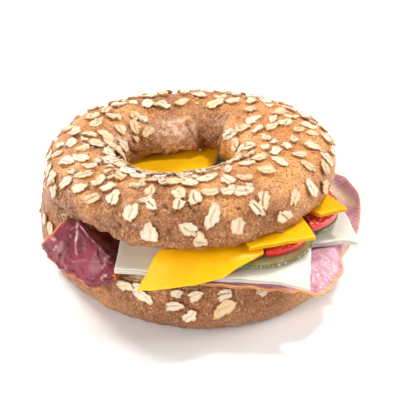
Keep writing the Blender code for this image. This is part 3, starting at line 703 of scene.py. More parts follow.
def flake_places(point, angle_range, share, wanted, seed, chosen):
    """The chosen flakes first, then random ones that keep a gap to all before."""
    draw = random.Random(seed)
    places = [(math.radians(a), math.radians(b), math.radians(c), size) for a, b, c, size in chosen]
    spots = [point(np.array(turn), np.array(angle)) for turn, angle, _, _ in places]
    tries = 0
    while len(places) < wanted + len(chosen) and tries < FLAKE_TRIES:
        tries += 1
        turn = draw.uniform(0.0, 2 * math.pi)
        angle = draw.uniform(*angle_range)
        spin = draw.uniform(0.0, math.pi)
        size = draw.uniform(0.8, 1.1)
        if draw.random() > share(turn, angle):
            continue
        spot = point(np.array(turn), np.array(angle))
        if min(np.linalg.norm(np.array(spots) - spot, axis=1), default=FLAKE_GAP) < FLAKE_GAP:
            continue
        places.append((turn, angle, spin, size))
        spots.append(spot)
    return np.array(places)


def top_share(turn, angle):
    """How likely a random flake is kept on the top half: few low down at the front or in the fold."""
    turn_deg, angle_deg = math.degrees(turn), math.degrees(angle)
    if angle_deg < 50 and 212 < turn_deg < 330:
        return 0.0
    if angle_deg > 112 and 44 < turn_deg < 128:
        return 0.0
    return 1.0 if 55 < angle_deg < 140 else 0.7


def bottom_share(turn, angle):
    """How likely a random flake is kept on the bottom half: none under the ham or the slices."""
    return 0.0 if math.degrees(turn) > 192 or math.degrees(turn) < 32 else 0.8


TOP_CHOSEN = [
    (212, 42, 85, 1.0), (221, 47, 60, 0.9), (230, 40, 50, 1.1), (238, 54, 100, 1.1), (248, 36, 95, 1.1),
    (256, 4, 92, 1.25), (270, 15, 160, 1.0), (243, 84, 20, 0.95), (252, 75, 100, 1.0), (262, 94, 5, 1.0),
    (279, 30, 60, 1.35), (280, 66, 0, 1.05), (288, 63, 10, 0.9), (294, 58, 170, 1.15), (288, 11, 70, 1.05),
    (274, -12, 170, 0.85), (297, 29, 120, 1.0), (301, 38, 60, 1.1), (308, 4, 140, 1.1), (315, 24, 45, 1.1),
    (326, 22, 95, 1.15), (335, 8, 95, 1.05), (334, 48, 100, 1.0),
]
BOTTOM_CHOSEN = [
    (240, 44, 10, 1.0), (245, 50, 20, 0.85), (248, 28, 150, 1.1), (261, 52, 15, 0.8), (260, 16, 20, 1.0),
    (266, -4, 50, 1.0), (268, 49, 20, 0.9), (279, 50, 15, 0.9), (279, 12, 30, 1.4), (294, 40, 10, 0.8),
    (190, 35, 80, 1.0), (195, 28, 85, 1.1),
]
top_range = (math.radians(16), math.radians(160))
bottom_range = (math.radians(-30), math.radians(40))
top_places = flake_places(top_point, top_range, top_share, 134, 11, TOP_CHOSEN)
bottom_places = flake_places(bottom_point, bottom_range, bottom_share, 20, 5, BOTTOM_CHOSEN)
print(len(top_places), "flakes on top,", len(bottom_places), "on the bottom half")

# %% The oat's finish
oat = Finish("toasted_oat", 0.55)
oat_large, oat_small = oat.patches(420.0, 0.5)
oat_pale = oat.mix(oat_small, (1.0, 0.79, 0.52), (1.0, 0.93, 0.76))
oat_toasted = oat.mix(oat_small, (0.84, 0.47, 0.19), (1.0, 0.74, 0.42))
streak = oat.noise(oat.mask("along", "Vector"), 3.2, 3.0, 0.6)
# Brown rims: partly toasted edges, partly painted shadow under the curled edges.
oat_edge = oat.times(oat.mask("edge"), oat.plus(0.52, oat.times(oat_large, 0.6)))
oat_colour = oat.layers(
    oat.mix(oat.mask("toast"), oat_pale, oat_toasted),
    (oat.times(oat.ramp(streak, 0.50, 0.68), 0.6), (1.0, 0.95, 0.80)),
    (oat.times(oat.ramp(streak, 0.42, 0.30), 0.50), (0.74, 0.38, 0.14)),
    (oat_edge, (0.60, 0.25, 0.075)),
    # Dark crease: partly the grain's own groove, partly painted shade in it.
    (oat.mask("crease"), (0.22, 0.08, 0.025)),
)
oat_height = oat.plus(oat.grain(2200.0, 0.3)[0], oat.times(streak, 1.5), clamp=False)
oat.set(oat_colour, None, oat_height, deep=0.45)

# %% Build the flakes
FLAKE_LOW, FLAKE_HIGH, FLAKE_TUCK = 0.26, 1.55, 0.55
FLAKE_THICK, FLAKE_RIM = 0.62, 0.08


def flake_shapes(point, places, seed, rings=7, columns=24, ragged=1.0, curl=1.0, rise=1.0, marks=1.0):
    """All flakes as one array: each is a lens of rings from the middle of its top to that of its base.

    The outline is an oval with a few waves and one notch, the top dips along its crease, and the edge
    lifts by a random curl. Flat coordinates become turn and angle by dividing by the crust's stretch, and
    all heights are multiplied by the rise. The marks scale how dark the edge and the crease are, a darkness
    that is partly toasting and partly painted shade.
    """
    draw = np.random.default_rng(seed)
    count = len(places)
    turn, angle, spin, size = (places[:, k][:, None, None] for k in range(4))
    round_ring, over, normal = frame_at(point, places[:, 0], places[:, 1])
    stretch_round = np.linalg.norm(round_ring, axis=-1)[:, None, None]
    stretch_over = np.linalg.norm(over, axis=-1)[:, None, None]
    ring = np.concatenate([np.linspace(0.0, 1.0, rings), np.linspace(1.0, 0.0, rings)[1:]])[None, :, None]
    is_top = (np.arange(2 * rings - 1) < rings)[None, :, None]
    way = full_turn(columns)[None, None, :]
    phase = draw.uniform(0.0, 2 * math.pi, (5, count, 1, 1))
    outline = 1.04 + ragged * (0.09 * np.sin(2 * way + phase[0]) + 0.08 * np.sin(3 * way + phase[1]))
    outline = outline + ragged * (0.07 * np.sin(5 * way + phase[2]) + 0.08 * np.sin(9 * way + phase[3]))
    for split in phase[3:]:
        notch = draw.uniform(0.0, 0.5, (count, 1, 1)) * ragged
        outline = outline - notch * hump(short_way(way, split), 0.0, 0.2)
    slim = draw.uniform(0.85, 1.15, (count, 1, 1))
    long_part = ring * outline * np.cos(way)
    short_part = ring * outline * np.sin(way)
    along = size * FLAKE_LENGTH / 2 * long_part
    aside = size * FLAKE_WIDTH / 2 * slim * short_part
    lean = draw.normal(0.0, 0.10, (2, count, 1, 1)) * curl
    curls = draw.uniform(0.1, 0.9, (count, 1, 1)) * curl
    bend = draw.normal(0.0, 0.25, (count, 1, 1)) * curl
    wander = 0.16 * np.sin(2.4 * long_part + phase[4]) * ragged
    crease = hump(short_part, wander, 0.12) * smoothstep((0.85 - np.abs(long_part)) / 0.4)
    height = 0.78 + curls * ring**3 * (0.5 + 0.5 * np.sin(3 * way + phase[1])) + bend * long_part**2
    height = height + lean[0] * long_part + lean[1] * short_part
    height = height + 0.22 * np.abs(short_part) ** 0.8 * (1 - ring**4)
    height = height - 0.34 * crease * (ring < 0.97)
    long_wave = 7.0 * long_part + 3.0 * short_part + phase[0]
    short_wave = 9.0 * short_part - 2.0 * long_part + phase[2]
    for high, wave in ((0.13, long_wave), (0.11, short_wave)):
        height = height + high * ragged * np.sin(wave) * ring * (1 - ring**6)
    height = np.clip(height, FLAKE_LOW, FLAKE_HIGH)
    thick = FLAKE_THICK * np.sqrt(np.clip(1 - ring**8, 0, 1)) + FLAKE_RIM
    below = np.minimum(height - thick, FLAKE_TUCK) * np.where(ring < 0.6, -0.6, 1.0)
    height = np.where(is_top, height, below)
    turn_spin = np.cos(spin) * along - np.sin(spin) * aside
    angle_spin = np.sin(spin) * along + np.cos(spin) * aside
    outward = np.sign((np.cross(round_ring, over) * normal).sum(-1))[:, None, None]
    on_crust = point(turn + turn_spin / stretch_round, angle + outward * angle_spin / stretch_over)
    points = on_crust + rise * height[..., None] * normal[:, None, None, :]
    seeds = draw.uniform(0.0, 50.0, (count, 1, 1))
    pattern = np.stack(np.broadcast_arrays(long_part * 0.9 + seeds, short_part * 4.5, seeds), axis=-1)
    edge = marks * smoothstep((ring - 0.74) / 0.26) * (0.5 + 0.5 * np.sin(way + phase[2]) ** 2)
    edge = np.broadcast_to(edge, height.shape)
    toast = np.broadcast_to(draw.uniform(0.0, 1.0, (count, 1, 1)) ** 1.5, height.shape)
    crease = np.broadcast_to(marks * crease * is_top * draw.uniform(0.1, 0.95, (count, 1, 1)), height.shape)
    return points, {"edge": edge, "toast": toast, "crease": crease, "along": pattern}


def flake_mesh(name, shapes, masks):
    """Joins the flakes into one object: their ring quads, with a fan of triangles at each pole."""
    count, rows, columns, _ = shapes.shape
    poles = [shapes[:, k].mean(axis=1)[:, None] for k in (0, -1)]
    points = np.concatenate([shapes[:, 1:-1].reshape(count, -1, 3), *poles], axis=1)
    first = np.arange(count) * points.shape[1]
    faces = (capped_faces(rows - 2, columns)[None] + first[:, None, None]).reshape(-1, 4)
    kept = {}
    for key, values in masks.items():
        parts = [values[:, 1:-1].reshape(count, -1, *values.shape[3:]), values[:, 0, :1], values[:, -1, :1]]
        kept[key] = np.concatenate(parts, axis=1).reshape(-1, *values.shape[3:])
    return skin_mesh(name, points, faces, oat, masks=kept)


flake_mesh("oat_flakes_top", *flake_shapes(top_point, top_places, 21))
flake_mesh("oat_flakes_bottom", *flake_shapes(bottom_point, bottom_places, 22))

# %% [markdown]
# ## Broken oats
# Rolled oats break as they are handled, so between the flakes lie splinters and crumbs of them, most of
# all on the near rim of the hole, where the dough touched the tray of oats longest. They are the same
# shape with fewer points, and small enough to need no more.

# %% Splinters and crumbs
def broken_places(count, sizes, seed):
    """Random spots on the top half with a size between two, kept more often near the hole's front rim."""
    draw = random.Random(seed)
    places = []
    while len(places) < count:
        turn, angle = draw.uniform(0.0, 2 * math.pi), math.radians(draw.uniform(5, 165))
        near_rim = around(turn, 262, 48) * float(hump(math.degrees(angle), 124, 26))
        left_crown = around(turn, 214, 34) * float(hump(math.degrees(angle), 106, 28))
        if draw.random() < 0.08 + 0.50 * near_rim + 0.50 * left_crown and top_share(turn, angle) > 0:
            places.append((turn, angle, draw.uniform(0.0, math.pi), draw.uniform(*sizes)))
    return np.array(places)


splinter_places = broken_places(90, (0.38, 0.78), 31)
flake_mesh("oat_splinters", *flake_shapes(top_point, splinter_places, 32, 4, 12, 1.5, 1.0, 0.9, 0.35))
crumb_places = broken_places(240, (0.08, 0.22), 33)
flake_mesh("oat_crumbs", *flake_shapes(top_point, crumb_places, 34, 3, 7, 1.3, 0.3, 0.5, 0.0))

# %% [markdown]
# ## Slices
# Cheese, ham, tomato and pickle are all slices of even thickness whose rim is a little rounded. One
# function makes those of cheese and ham. It takes the upper surface as a grid whose lines crowd together
# near the rim, drops a copy by the thickness, and draws both in along a quarter circle at the rim.

# %% Sheets with a rounded rim
def crowded(length, rounding, steps):
    """Shares from 0 to 1: even steps, with four more near each end along a quarter circle."""
    quarter = rounding * (1 - np.cos(np.linspace(0.0, 0.5 * math.pi, 5))) / length
    middle = np.linspace(quarter[-1], 1 - quarter[-1], steps)
    return np.concatenate([quarter[:-1], middle, 1 - quarter[:-1][::-1]])


def sheet(node, top, shares, lengths, thick, rounding, finish, masks=None):
    """A slice below a grid of top points: both faces, and a strip round the rim.

    Within the rounding of the rim, a face comes in by r - sqrt(r^2 - (r - e)^2), where e is the
    distance to the nearest rim.
    """
    rows, columns, _ = top.shape
    normal = grid_normals(top, False)
    if normal[rows // 2, columns // 2, 2] < 0:
        normal = -normal
    from_u = np.minimum(shares[0], 1 - shares[0]) * lengths[0]
    from_v = np.minimum(shares[1], 1 - shares[1]) * lengths[1]
    edge = np.minimum(from_u[:, None], from_v[None, :])
    inside = np.clip(rounding - edge, 0.0, rounding)
    draw_in = (rounding - np.sqrt(np.maximum(rounding**2 - inside**2, 0.0)))[..., None]
    upper = top - draw_in * normal
    lower = top - (thick - draw_in) * normal
    count = rows * columns
    quads = grid_faces(rows, columns, False, False)
    index = np.arange(count).reshape(rows, columns)
    rim = np.concatenate([index[0], index[1:, -1], index[-1, -2::-1], index[-2:0:-1, 0]])
    after = np.roll(rim, -1)
    wall = np.stack([rim, after, count + after, count + rim], axis=-1)
    faces = np.concatenate([quads[:, ::-1], count + quads, wall])
    both = {key: np.concatenate([np.ravel(values)] * 2) for key, values in (masks or {}).items()}
    points = np.concatenate([upper.reshape(-1, 3), lower.reshape(-1, 3)])
    return skin_mesh(node + "_slice", points, faces, finish, node, both)


def flat_sheet(front, back, across, deep):
    """A grid between a front and a back curve of plan points, at the given shares."""
    curves = []
    for curve in (front, back):
        curve = np.array(curve, float)
        places = np.linspace(0.0, 1.0, len(curve))
        curves.append(np.stack([np.interp(across, places, curve[:, k]) for k in (0, 1)], axis=-1))
    deep = deep[None, :, None]
    return curves[0][:, None] * (1 - deep) + curves[1][:, None] * deep


def turned_square(corner, turn, width, depth):
    """Front and back edges of a rectangle, from its front right corner and its turn in degrees."""
    corner = np.array(corner, float)
    right = np.array([math.cos(math.radians(turn)), math.sin(math.radians(turn))])
    away = np.array([-right[1], right[0]])
    front_left = corner - width * right
    return [front_left, corner], [front_left + depth * away, corner + depth * away]


def sagging(flat, level, slope, start, sag):
    """Heights of a slice: level at the axis, sloping along x, sagging beyond a radius by a parabola."""
    x, y = flat[..., 0], flat[..., 1]
    beyond = np.maximum(np.hypot(x, y) - start, 0.0)
    return np.concatenate([flat, (level + slope * x - sag * beyond**2)[..., None]], axis=-1)


def draped(flat, level, line, start, sag):
    """Heights of the front slice: it droops before a line, less on its left, and beyond a radius."""
    x, y = flat[..., 0], flat[..., 1]
    past = np.maximum(line - y, 0.0)
    droop = 0.25 * smoothstep((x + 36.0) / 36.0) * past**2 / (past + 4.0)
    beyond = np.maximum(np.hypot(x, y) - start, 0.0)
    return np.concatenate([flat, (level - droop - sag * beyond**2)[..., None]], axis=-1)


def hanging(flat, level, slope, start, bend, steepest):
    """A slice that hangs over an edge: round an arc beyond the start radius, then straight down a slope."""
    x, y = flat[..., 0], flat[..., 1]
    reach = np.hypot(x, y)
    beyond = np.maximum(reach - start, 0.0)
    arc = np.minimum(beyond / bend, steepest)
    straight = np.maximum(beyond - bend * steepest, 0.0)
    out = bend * np.sin(arc) + straight * math.cos(steepest)
    down = bend * (1 - np.cos(arc)) + straight * math.sin(steepest)
    scale = (np.minimum(reach, start) + out) / np.maximum(reach, 1e-6)
    return np.stack([x * scale, y * scale, level + slope * x - down], axis=-1)


# %% [markdown]
# ## Cheese
# The white slices are thick and creamy, with a satin face and crisp cut sides. The yellow ones are
# thinner and softer: they bend over the edge of the bread under their own weight. Both let light in a
# little way, which is what makes their cut edges glow. Cheese and ham share one recipe for a finish.

# %% Cheese finishes
def sliced_food(name, base, patch, tones, speckle, grained, rough, deep, tints=(), folds=None):
    """A finish of two broad tones with specks of a third, masked tints over them and a fine grain.

    The roughness is its least value plus a share of the small pattern.
    """
    made = Finish(name, base)
    large, small = made.patches(*patch)
    colour = made.layers(made.mix(large, *tones[:2]), (made.times(small, speckle), tones[2]))
    colour = made.layers(colour, *[(made.mask(key), tint) for key, tint in tints])
    height = made.grain(*grained)[0]
    if folds is not None:
        creases = made.crinkle(made.noise(made.place, folds, 2.0, 0.5), 0.035)
        height = made.plus(height, creases, clamp=False)
    made.set(colour, made.plus(rough[0], made.times(small, rough[1])), height, deep)
    return made


white = sliced_food(
    "white_cheese_finish", 0.38, (70.0, 0.35), ((0.70, 0.655, 0.57), (0.74, 0.70, 0.63), (0.79, 0.75, 0.68)),
    speckle=0.2, grained=(650.0, 0.12), rough=(0.30, 0.18), deep=0.08,
)
white.translucent(0.75, 5.0, (1.0, 0.9, 0.75))
yellow = sliced_food(
    "yellow_cheese_finish", 0.36, (80.0, 0.4), ((0.90, 0.45, 0.001), (0.97, 0.54, 0.002), (1.0, 0.66, 0.03)),
    speckle=0.10, grained=(600.0, 0.10), rough=(0.30, 0.16), deep=0.07,
)
yellow.translucent(0.30, 2.2, (1.0, 0.55, 0.08))
yellow.shader["Specular IOR Level"].default_value = 0.25


# %% Cheese slices
CHEESE_LINES = 60
KINDS = {"white": (white, "white_cheese", 2.4, 0.45), "yellow": (yellow, "yellow_cheese", 1.9, 0.5)}


def cheese(node, outline, height, sizes, seed):
    """One slice: its plan between two edges, its height by a rule, with slow waves and a wavering rim."""
    finish, slot, thick, rounding = KINDS[node.split("_")[0]]
    shares = [crowded(size, rounding, CHEESE_LINES) for size in sizes]
    flat = flat_sheet(*outline, *shares)
    spread = np.concatenate([flat, np.zeros(flat.shape[:2] + (1,))], axis=-1)
    flat = flat + 0.10 * np.stack([relief(spread, 9.0, seed), relief(spread, 9.0, seed + 1)], axis=-1)
    top = height(flat)
    top[..., 2] += bumps(spread, (0.07, 16.0, seed + 2), (0.02, 5.0, seed + 3))
    return sheet(node, top, shares, sizes, thick, rounding, finish)


LOW_FRONT = [(-24.4, -65.6), (-12.4, -65.6), (-1.5, -64.6), (9.0, -61.0), (16.0, -55.6), (23.0, -49.4)]
LOW_BACK = [(-5.0, -38.0), (0.0, -36.0), (5.0, -35.0), (10.0, -34.0), (15.0, -33.0), (21.0, -32.0)]
RIGHT_FRONT = [(7.2, 2.0), (44.4, -27.4), (54.6, -24.2)]
RIGHT_BACK = [(12.4, 25.0), (19.0, 29.0), (27.0, 24.0)]
CHEESES = (
    ("white_cheese_front", turned_square((39.4, -57.0), -4.25, 70.5, 70),
     lambda flat: draped(flat, 29.5, -44.0, 58.0, 0.025), (70.5, 70), 31),
    ("white_cheese_right", turned_square((60.0, -26.3), 13, 65, 58),
     lambda flat: sagging(flat, 26.7, 0.0, 56.5, 0.03), (65, 58), 35),
    ("yellow_cheese_low", (LOW_FRONT, LOW_BACK),
     lambda flat: hanging(flat, 36.4, -0.045, 51.5, 8.0, math.radians(52)), (50, 26), 39),
    ("yellow_cheese_high", turned_square((41.7, -43.7), 17, 25, 20),
     lambda flat: sagging(flat, 38.0, 0.008, 57.0, 0.03), (25, 20), 43),
    ("yellow_cheese_right", (RIGHT_FRONT, RIGHT_BACK),
     lambda flat: sagging(flat, 35.7, 0.045, 58.0, 0.03), (68, 50), 47),
    ("yellow_cheese_rear", turned_square((-3.4, -24.0), -13, 40, 56),
     lambda flat: sagging(flat, 35.4, 0.0, 58.0, 0.03), (40, 56), 51),
)
for row in CHEESES:
    cheese(*row)

# %% [markdown]
# ## Ham
# Two hams show. On the left a thin slice of dark cured ham is pleated up against the top half and hangs
# over the crust, with pale veins of fat, partly painted highlight along its fold's ridge, and a browned
# rim. On the right a paler cooked slice lies flat on the bread and hangs out beyond it. Both are grids
# round the axis: one way is the turn, the other runs from deep in the sandwich out to the free edge.

# %% Curves for the hams
def spline(knots, at):
    """A cubic curve through knots, which are arrays of radius and height.

    At each knot it runs along the line between the two neighbours of that knot.
    """
    padded = [2 * knots[0] - knots[1], *knots, 2 * knots[-1] - knots[-2]]
    index = min(int(at * (len(knots) - 1)), len(knots) - 2)
    t = at * (len(knots) - 1) - index
    a, b, c, d = padded[index : index + 4]
    return 0.5 * (2 * b + (c - a) * t + (2 * a - 5 * b + 4 * c - d) * t**2 + (3 * b - a - 3 * c + d) * t**3)


# %% Ham finishes
cured = sliced_food(
    "cured_ham_finish", 0.3, (110.0, 0.5), ((0.10, 0.010, 0.017), (0.23, 0.034, 0.052), (0.36, 0.08, 0.12)),
    speckle=0.22, grained=(420.0, 0.2), rough=(0.22, 0.22), deep=0.24,
    tints=(("fat", (0.78, 0.47, 0.50)), ("rim", (0.60, 0.17, 0.035))),
)
cured.shader["Specular IOR Level"].default_value = 0.28
cured.translucent(0.10, 0.8, (1.0, 0.30, 0.25))
cooked = sliced_food(
    "cooked_ham_finish", 0.34, (100.0, 0.6), ((0.53, 0.17, 0.23), (0.60, 0.29, 0.37), (0.66, 0.45, 0.56)),
    speckle=0.4, grained=(380.0, 0.25), rough=(0.24, 0.22), deep=0.22,
    tints=(("fat", (0.80, 0.62, 0.42)), ("rim", (0.80, 0.36, 0.12))), folds=130.0,
)
cooked.translucent(0.2, 1.2, (1.0, 0.5, 0.45))
cooked.glaze(0.12, 0.18)

# %% The cured ham on the left
HAM_THICK, HAM_CLEAR, HAM_EDGE, HAM_ROUNDING = 1.2, 1.7, 56.9, 0.5
CURED_WIDE, CURED_LONG, CURED_BED = 45.0, 44.0, 24.4
CURED_LEFT, CURED_RIGHT, CURED_SPREAD = 207.0, 239.0, 8.0
ham_shares = [crowded(CURED_WIDE, HAM_ROUNDING, 90), crowded(CURED_LONG, HAM_ROUNDING, 84)]
turn = ham_shares[0]
ridge_height = smooth_through([0, 0.2, 0.6, 0.8, 1], [34.4, 36.0, 31.5, 26.4, 24.9], turn)
ridge_reach = smooth_through([0, 0.4, 1], [54.8, 53.6, 55.0], turn)
end_height = smooth_through([0, 0.2, 0.5, 0.75, 0.9, 1], [17.3, 16.0, 16.3, 17.0, 21.0, 24.6], turn)
end_reach = smooth_through([0, 0.36, 0.84, 1], [63.2, 61.0, 60.2, 58.5], turn)
zero = np.zeros_like(turn)
knots = [
    np.stack([zero + 34.0, zero + 24.1], axis=-1),
    np.stack([zero + 44.0, CURED_BED + 0.12 * (ridge_height - CURED_BED)], axis=-1),
    np.stack([ridge_reach, ridge_height], axis=-1),
    np.stack([end_reach - 1.6, end_height + 0.62 * (ridge_height - end_height)], axis=-1),
    np.stack([end_reach + 0.6, end_height + 0.28 * (ridge_height - end_height)], axis=-1),
    np.stack([end_reach, end_height], axis=-1),
]
lines = []
for part in ham_shares[1]:
    curve = spline(knots, part)
    left = math.radians(CURED_LEFT - CURED_SPREAD * float(smoothstep((part - 0.4) / 0.6)))
    angle = left + (math.radians(CURED_RIGHT) - left) * turn
    ripple = 0.5 * np.sin(14.0 * turn + 3.0 * part) * smoothstep((part - 0.45) / 0.3)
    wave = np.stack([CURED_WIDE * turn, CURED_LONG * part + zero, zero], axis=-1)
    reach = curve[:, 0] + ripple + 0.35 * relief(wave, 4.0, 59) * smoothstep((part - 0.5) / 0.5)
    lying = 1.0 - smoothstep((reach - 54.0) / 4.0)
    x, y = reach * np.cos(angle), reach * np.sin(angle)
    clear = cut_height(x, y) + HAM_THICK + HAM_CLEAR
    lines.append(np.stack([x, y, curve[:, 1] + lying * np.maximum(clear - curve[:, 1], 0.0)], axis=-1))
cured_top = np.stack(lines, axis=1)
# Pale lines of fat; those that run along the fold and its ridge are partly painted highlight.
VEINS = (
    (1.0, 0.9, [(77, 219), (77.6, 224), (76.6, 229), (77.2, 234), (75.8, 240)]),
    (0.6, 0.7, [(75.8, 240), (75.4, 247), (76.4, 254)]),
    (0.8, 0.45, [(79, 224), (83, 229), (88, 236), (92, 240), (98, 247), (103, 252), (109, 257)]),
    (0.7, 1.1, [(109, 257), (104, 259), (105, 264), (103, 268)]),
    (0.5, 0.7, [(104, 259), (111, 263)]),
    (0.3, 0.4, [(72, 262), (84, 260), (94, 262), (103, 261)]),
    (0.9, 1.3, [(52, 238), (54.5, 239.5)]),
    (0.6, 0.8, [(56, 246), (54, 250)]),
    (0.4, 0.5, [(66, 226), (70, 230.5), (74, 227)]),
    (0.7, 1.3, [(102, 278), (106, 275.5)]),
)
# The fat mask: veins of fat, partly painted highlight along the ridge.
fat = sum(share * stroke(cured_top, path, wide) for share, wide, path in VEINS)
fat = fat * (0.75 + 0.35 * relief(cured_top, 1.6, 60))
fat = fat + 0.20 * smoothstep(relief(cured_top, 6.0, 61) - 1.2)
along, out = ham_shares[0][:, None], ham_shares[1][None, :]
rim = np.maximum(smoothstep((out - 0.955) / 0.035), smoothstep((0.055 - along) / 0.04))
rim = np.maximum(rim, smoothstep((along - 0.96) / 0.03))
masks = {"fat": np.clip(fat, 0, 1), "rim": rim}
lengths = (CURED_WIDE, CURED_LONG)
sheet("ham_cured_left", cured_top, ham_shares, lengths, HAM_THICK, HAM_ROUNDING, cured, masks)

# %% The cooked ham on the right
COOKED_WIDE, COOKED_LONG, COOKED_INNER, COOKED_BED = 124.0, 26.0, 36.0, 23.9
COOKED_START, COOKED_TURN = -90.0, 116.0
ham_shares = [crowded(COOKED_WIDE, HAM_ROUNDING, 160), crowded(COOKED_LONG, HAM_ROUNDING, 50)]
degrees = COOKED_START + COOKED_TURN * ham_shares[0]
ends = [-90, -84, -74, -64, -56, -48, -37, -27, -14, 4, 16, 26]
reaches = [53.2, 53.8, 57.0, 61.3, 63.0, 67.0, 65.4, 60.6, 62.6, 62.8, 61.5, 59.0]
heights = [23.9, 23.9, 24.0, 23.4, 20.4, 17.0, 18.2, 20.0, 23.4, 27.0, 27.5, 26.0]
end_reach = smooth_through(ends, reaches, degrees)
end_height = smooth_through(ends, heights, degrees)
turn = np.radians(degrees)[:, None]
part = ham_shares[1][None, :]
reach = COOKED_INNER + (end_reach[:, None] - COOKED_INNER) * part
out = smoothstep((reach - HAM_EDGE) / np.maximum(end_reach[:, None] - HAM_EDGE, HAM_THICK))
height = COOKED_BED + (end_height[:, None] - COOKED_BED) * out
height = height + 0.5 * np.sin(9.0 * turn + 2.0) * out
cooked_top = np.stack([reach * np.cos(turn), reach * np.sin(turn), height], axis=-1)
fat = stroke(cooked_top, [(328, 186), (337, 193), (350, 203)], 5.0)
fat = fat + 0.3 * smoothstep(relief(cooked_top, 4.0, 63) - 1.0)
rim = smoothstep((part - 0.95) / 0.05) * np.ones_like(turn)
masks = {"fat": np.clip(fat, 0, 1), "rim": rim}
lengths = (COOKED_WIDE, COOKED_LONG)
sheet(
    "ham_cooked_right", cooked_top, ham_shares, lengths, HAM_THICK, HAM_ROUNDING, cooked, masks
)

# %% [markdown]
# ## Tomato and pickle
# Both are round slices, some of them cut in half or notched where the next slice lies. A slice is drawn
# from a point inside it: along every direction, the nearest of its outer circle, its straight cut and
# its neighbour's circle says where the rim is.

# %% Round slices
def rim_reach(way, start, centre, radius, bite, keep):
    """Distance from the start to the rim along each direction."""
    step = np.stack([np.cos(way), np.sin(way)], axis=-1)
    offset = np.array(start) - centre
    along = step @ offset
    reach = -along + np.sqrt(along**2 - offset @ offset + radius**2)
    if bite is not None:
        offset = np.array(start) - bite[0]
        along = step @ offset
        inside = along**2 - offset @ offset + bite[1] ** 2
        enters = -along - np.sqrt(np.maximum(inside, 0.0))
        reach = np.where((inside > 0) & (enters > 0), np.minimum(reach, enters), reach)
    if keep is not None:
        facing = np.array([math.cos(math.radians(keep)), math.sin(math.radians(keep))])
        towards = -(step @ facing)
        depth = (np.array(start) - centre) @ facing
        reach = np.where(towards > 1e-6, np.minimum(reach, depth / np.maximum(towards, 1e-6)), reach)
    return reach


ROUND_COLUMNS, ROUND_RINGS = 160, 25


def round_slice(node, finish, floor, thick, start, centre, radius, seed, bite=None, keep=None):
    """A slice with rounded rims: rings from the middle of its top, down its side, to that of its base."""
    rounding = 0.3 * thick
    way = full_turn(ROUND_COLUMNS)
    reach = rim_reach(way, start, np.array(centre, float), radius, bite, keep)
    quarter = np.linspace(0.0, 0.5 * math.pi, 6)
    inner = np.linspace(0.04, 1.0, ROUND_RINGS + 1)[:-1]
    level = np.zeros(ROUND_RINGS)
    drop = np.concatenate([level, rounding * (1 - np.cos(quarter)), [thick / 2]])
    back = np.concatenate([level, rounding * np.sin(quarter), [rounding]]) - rounding
    share = np.concatenate([inner, np.ones(len(quarter) + 1)])
    drop = np.concatenate([drop, thick - drop[::-1][1:]])[:, None]
    back = np.concatenate([back, back[::-1][1:]])[:, None]
    share = np.concatenate([share, share[::-1][1:]])[:, None]
    out = share * (reach[None, :] - rounding) + np.where(share == 1.0, back + rounding, 0.0)
    x = start[0] + out * np.cos(way)
    y = start[1] + out * np.sin(way)
    points = np.stack([x, y, np.broadcast_to(floor + thick - drop, x.shape)], axis=-1)
    lift = np.where(share < 1.0, 1.0, 0.3) * 0.08 * relief(points, 4.5, seed)
    points[..., 2] -= np.abs(lift) * np.where(drop < thick / 2, 1.0, -1.0)
    local = np.stack([(x - centre[0]) / radius, (y - centre[1]) / radius, 0 * x], axis=-1)
    skin = smoothstep((np.hypot(local[..., 0], local[..., 1]) - 0.972) / 0.02)
    side = smoothstep((drop - 0.02) / 0.3) * smoothstep((thick - drop - 0.02) / 0.3) * np.ones_like(x)
    poles = np.array([[start[0], start[1], floor + thick], [start[0], start[1], floor]])
    middle = np.array([[(start[0] - centre[0]) / radius, (start[1] - centre[1]) / radius, 0.0]])
    masks = {
        "local": np.concatenate([local.reshape(-1, 3), middle, middle]),
        "skin": np.concatenate([skin.ravel(), [0.0, 0.0]]),
        "side": np.concatenate([side.ravel(), [0.0, 0.0]]),
    }
    points = np.concatenate([points.reshape(-1, 3), poles])
    faces = capped_faces(len(drop), ROUND_COLUMNS)
    return skin_mesh(node + "_slice", points, faces, finish, node, masks)


# %% Tomato and pickle finishes
tomato = Finish("tomato_finish", 0.16)
tomato_place = tomato.mask("local", "Vector")
tomato_large = tomato.ramp(tomato.noise(tomato_place, 2.6), 0.42, 0.62)
tomato_small = tomato.noise(tomato_place, 16.0, 4.0)
tomato_colour = tomato.layers(
    tomato.mix(tomato_large, (0.66, 0.008, 0.006), (0.78, 0.035, 0.020)),
    # Pale flecks: partly paler flesh, partly painted glints.
    (tomato.times(tomato.ramp(tomato_small, 0.52, 0.62), 0.75), (0.92, 0.50, 0.42)),
    (tomato.mask("skin"), (0.55, 0.008, 0.006)),
)
tomato_height = tomato.plus(tomato.grain(500.0, 0.2)[0], tomato.times(tomato_small, 2.0), clamp=False)
tomato.set(tomato_colour, None, tomato_height, deep=0.30)
tomato.translucent(0.15, 1.6, (1.0, 0.20, 0.10))
tomato.glaze(0.5, 0.06)

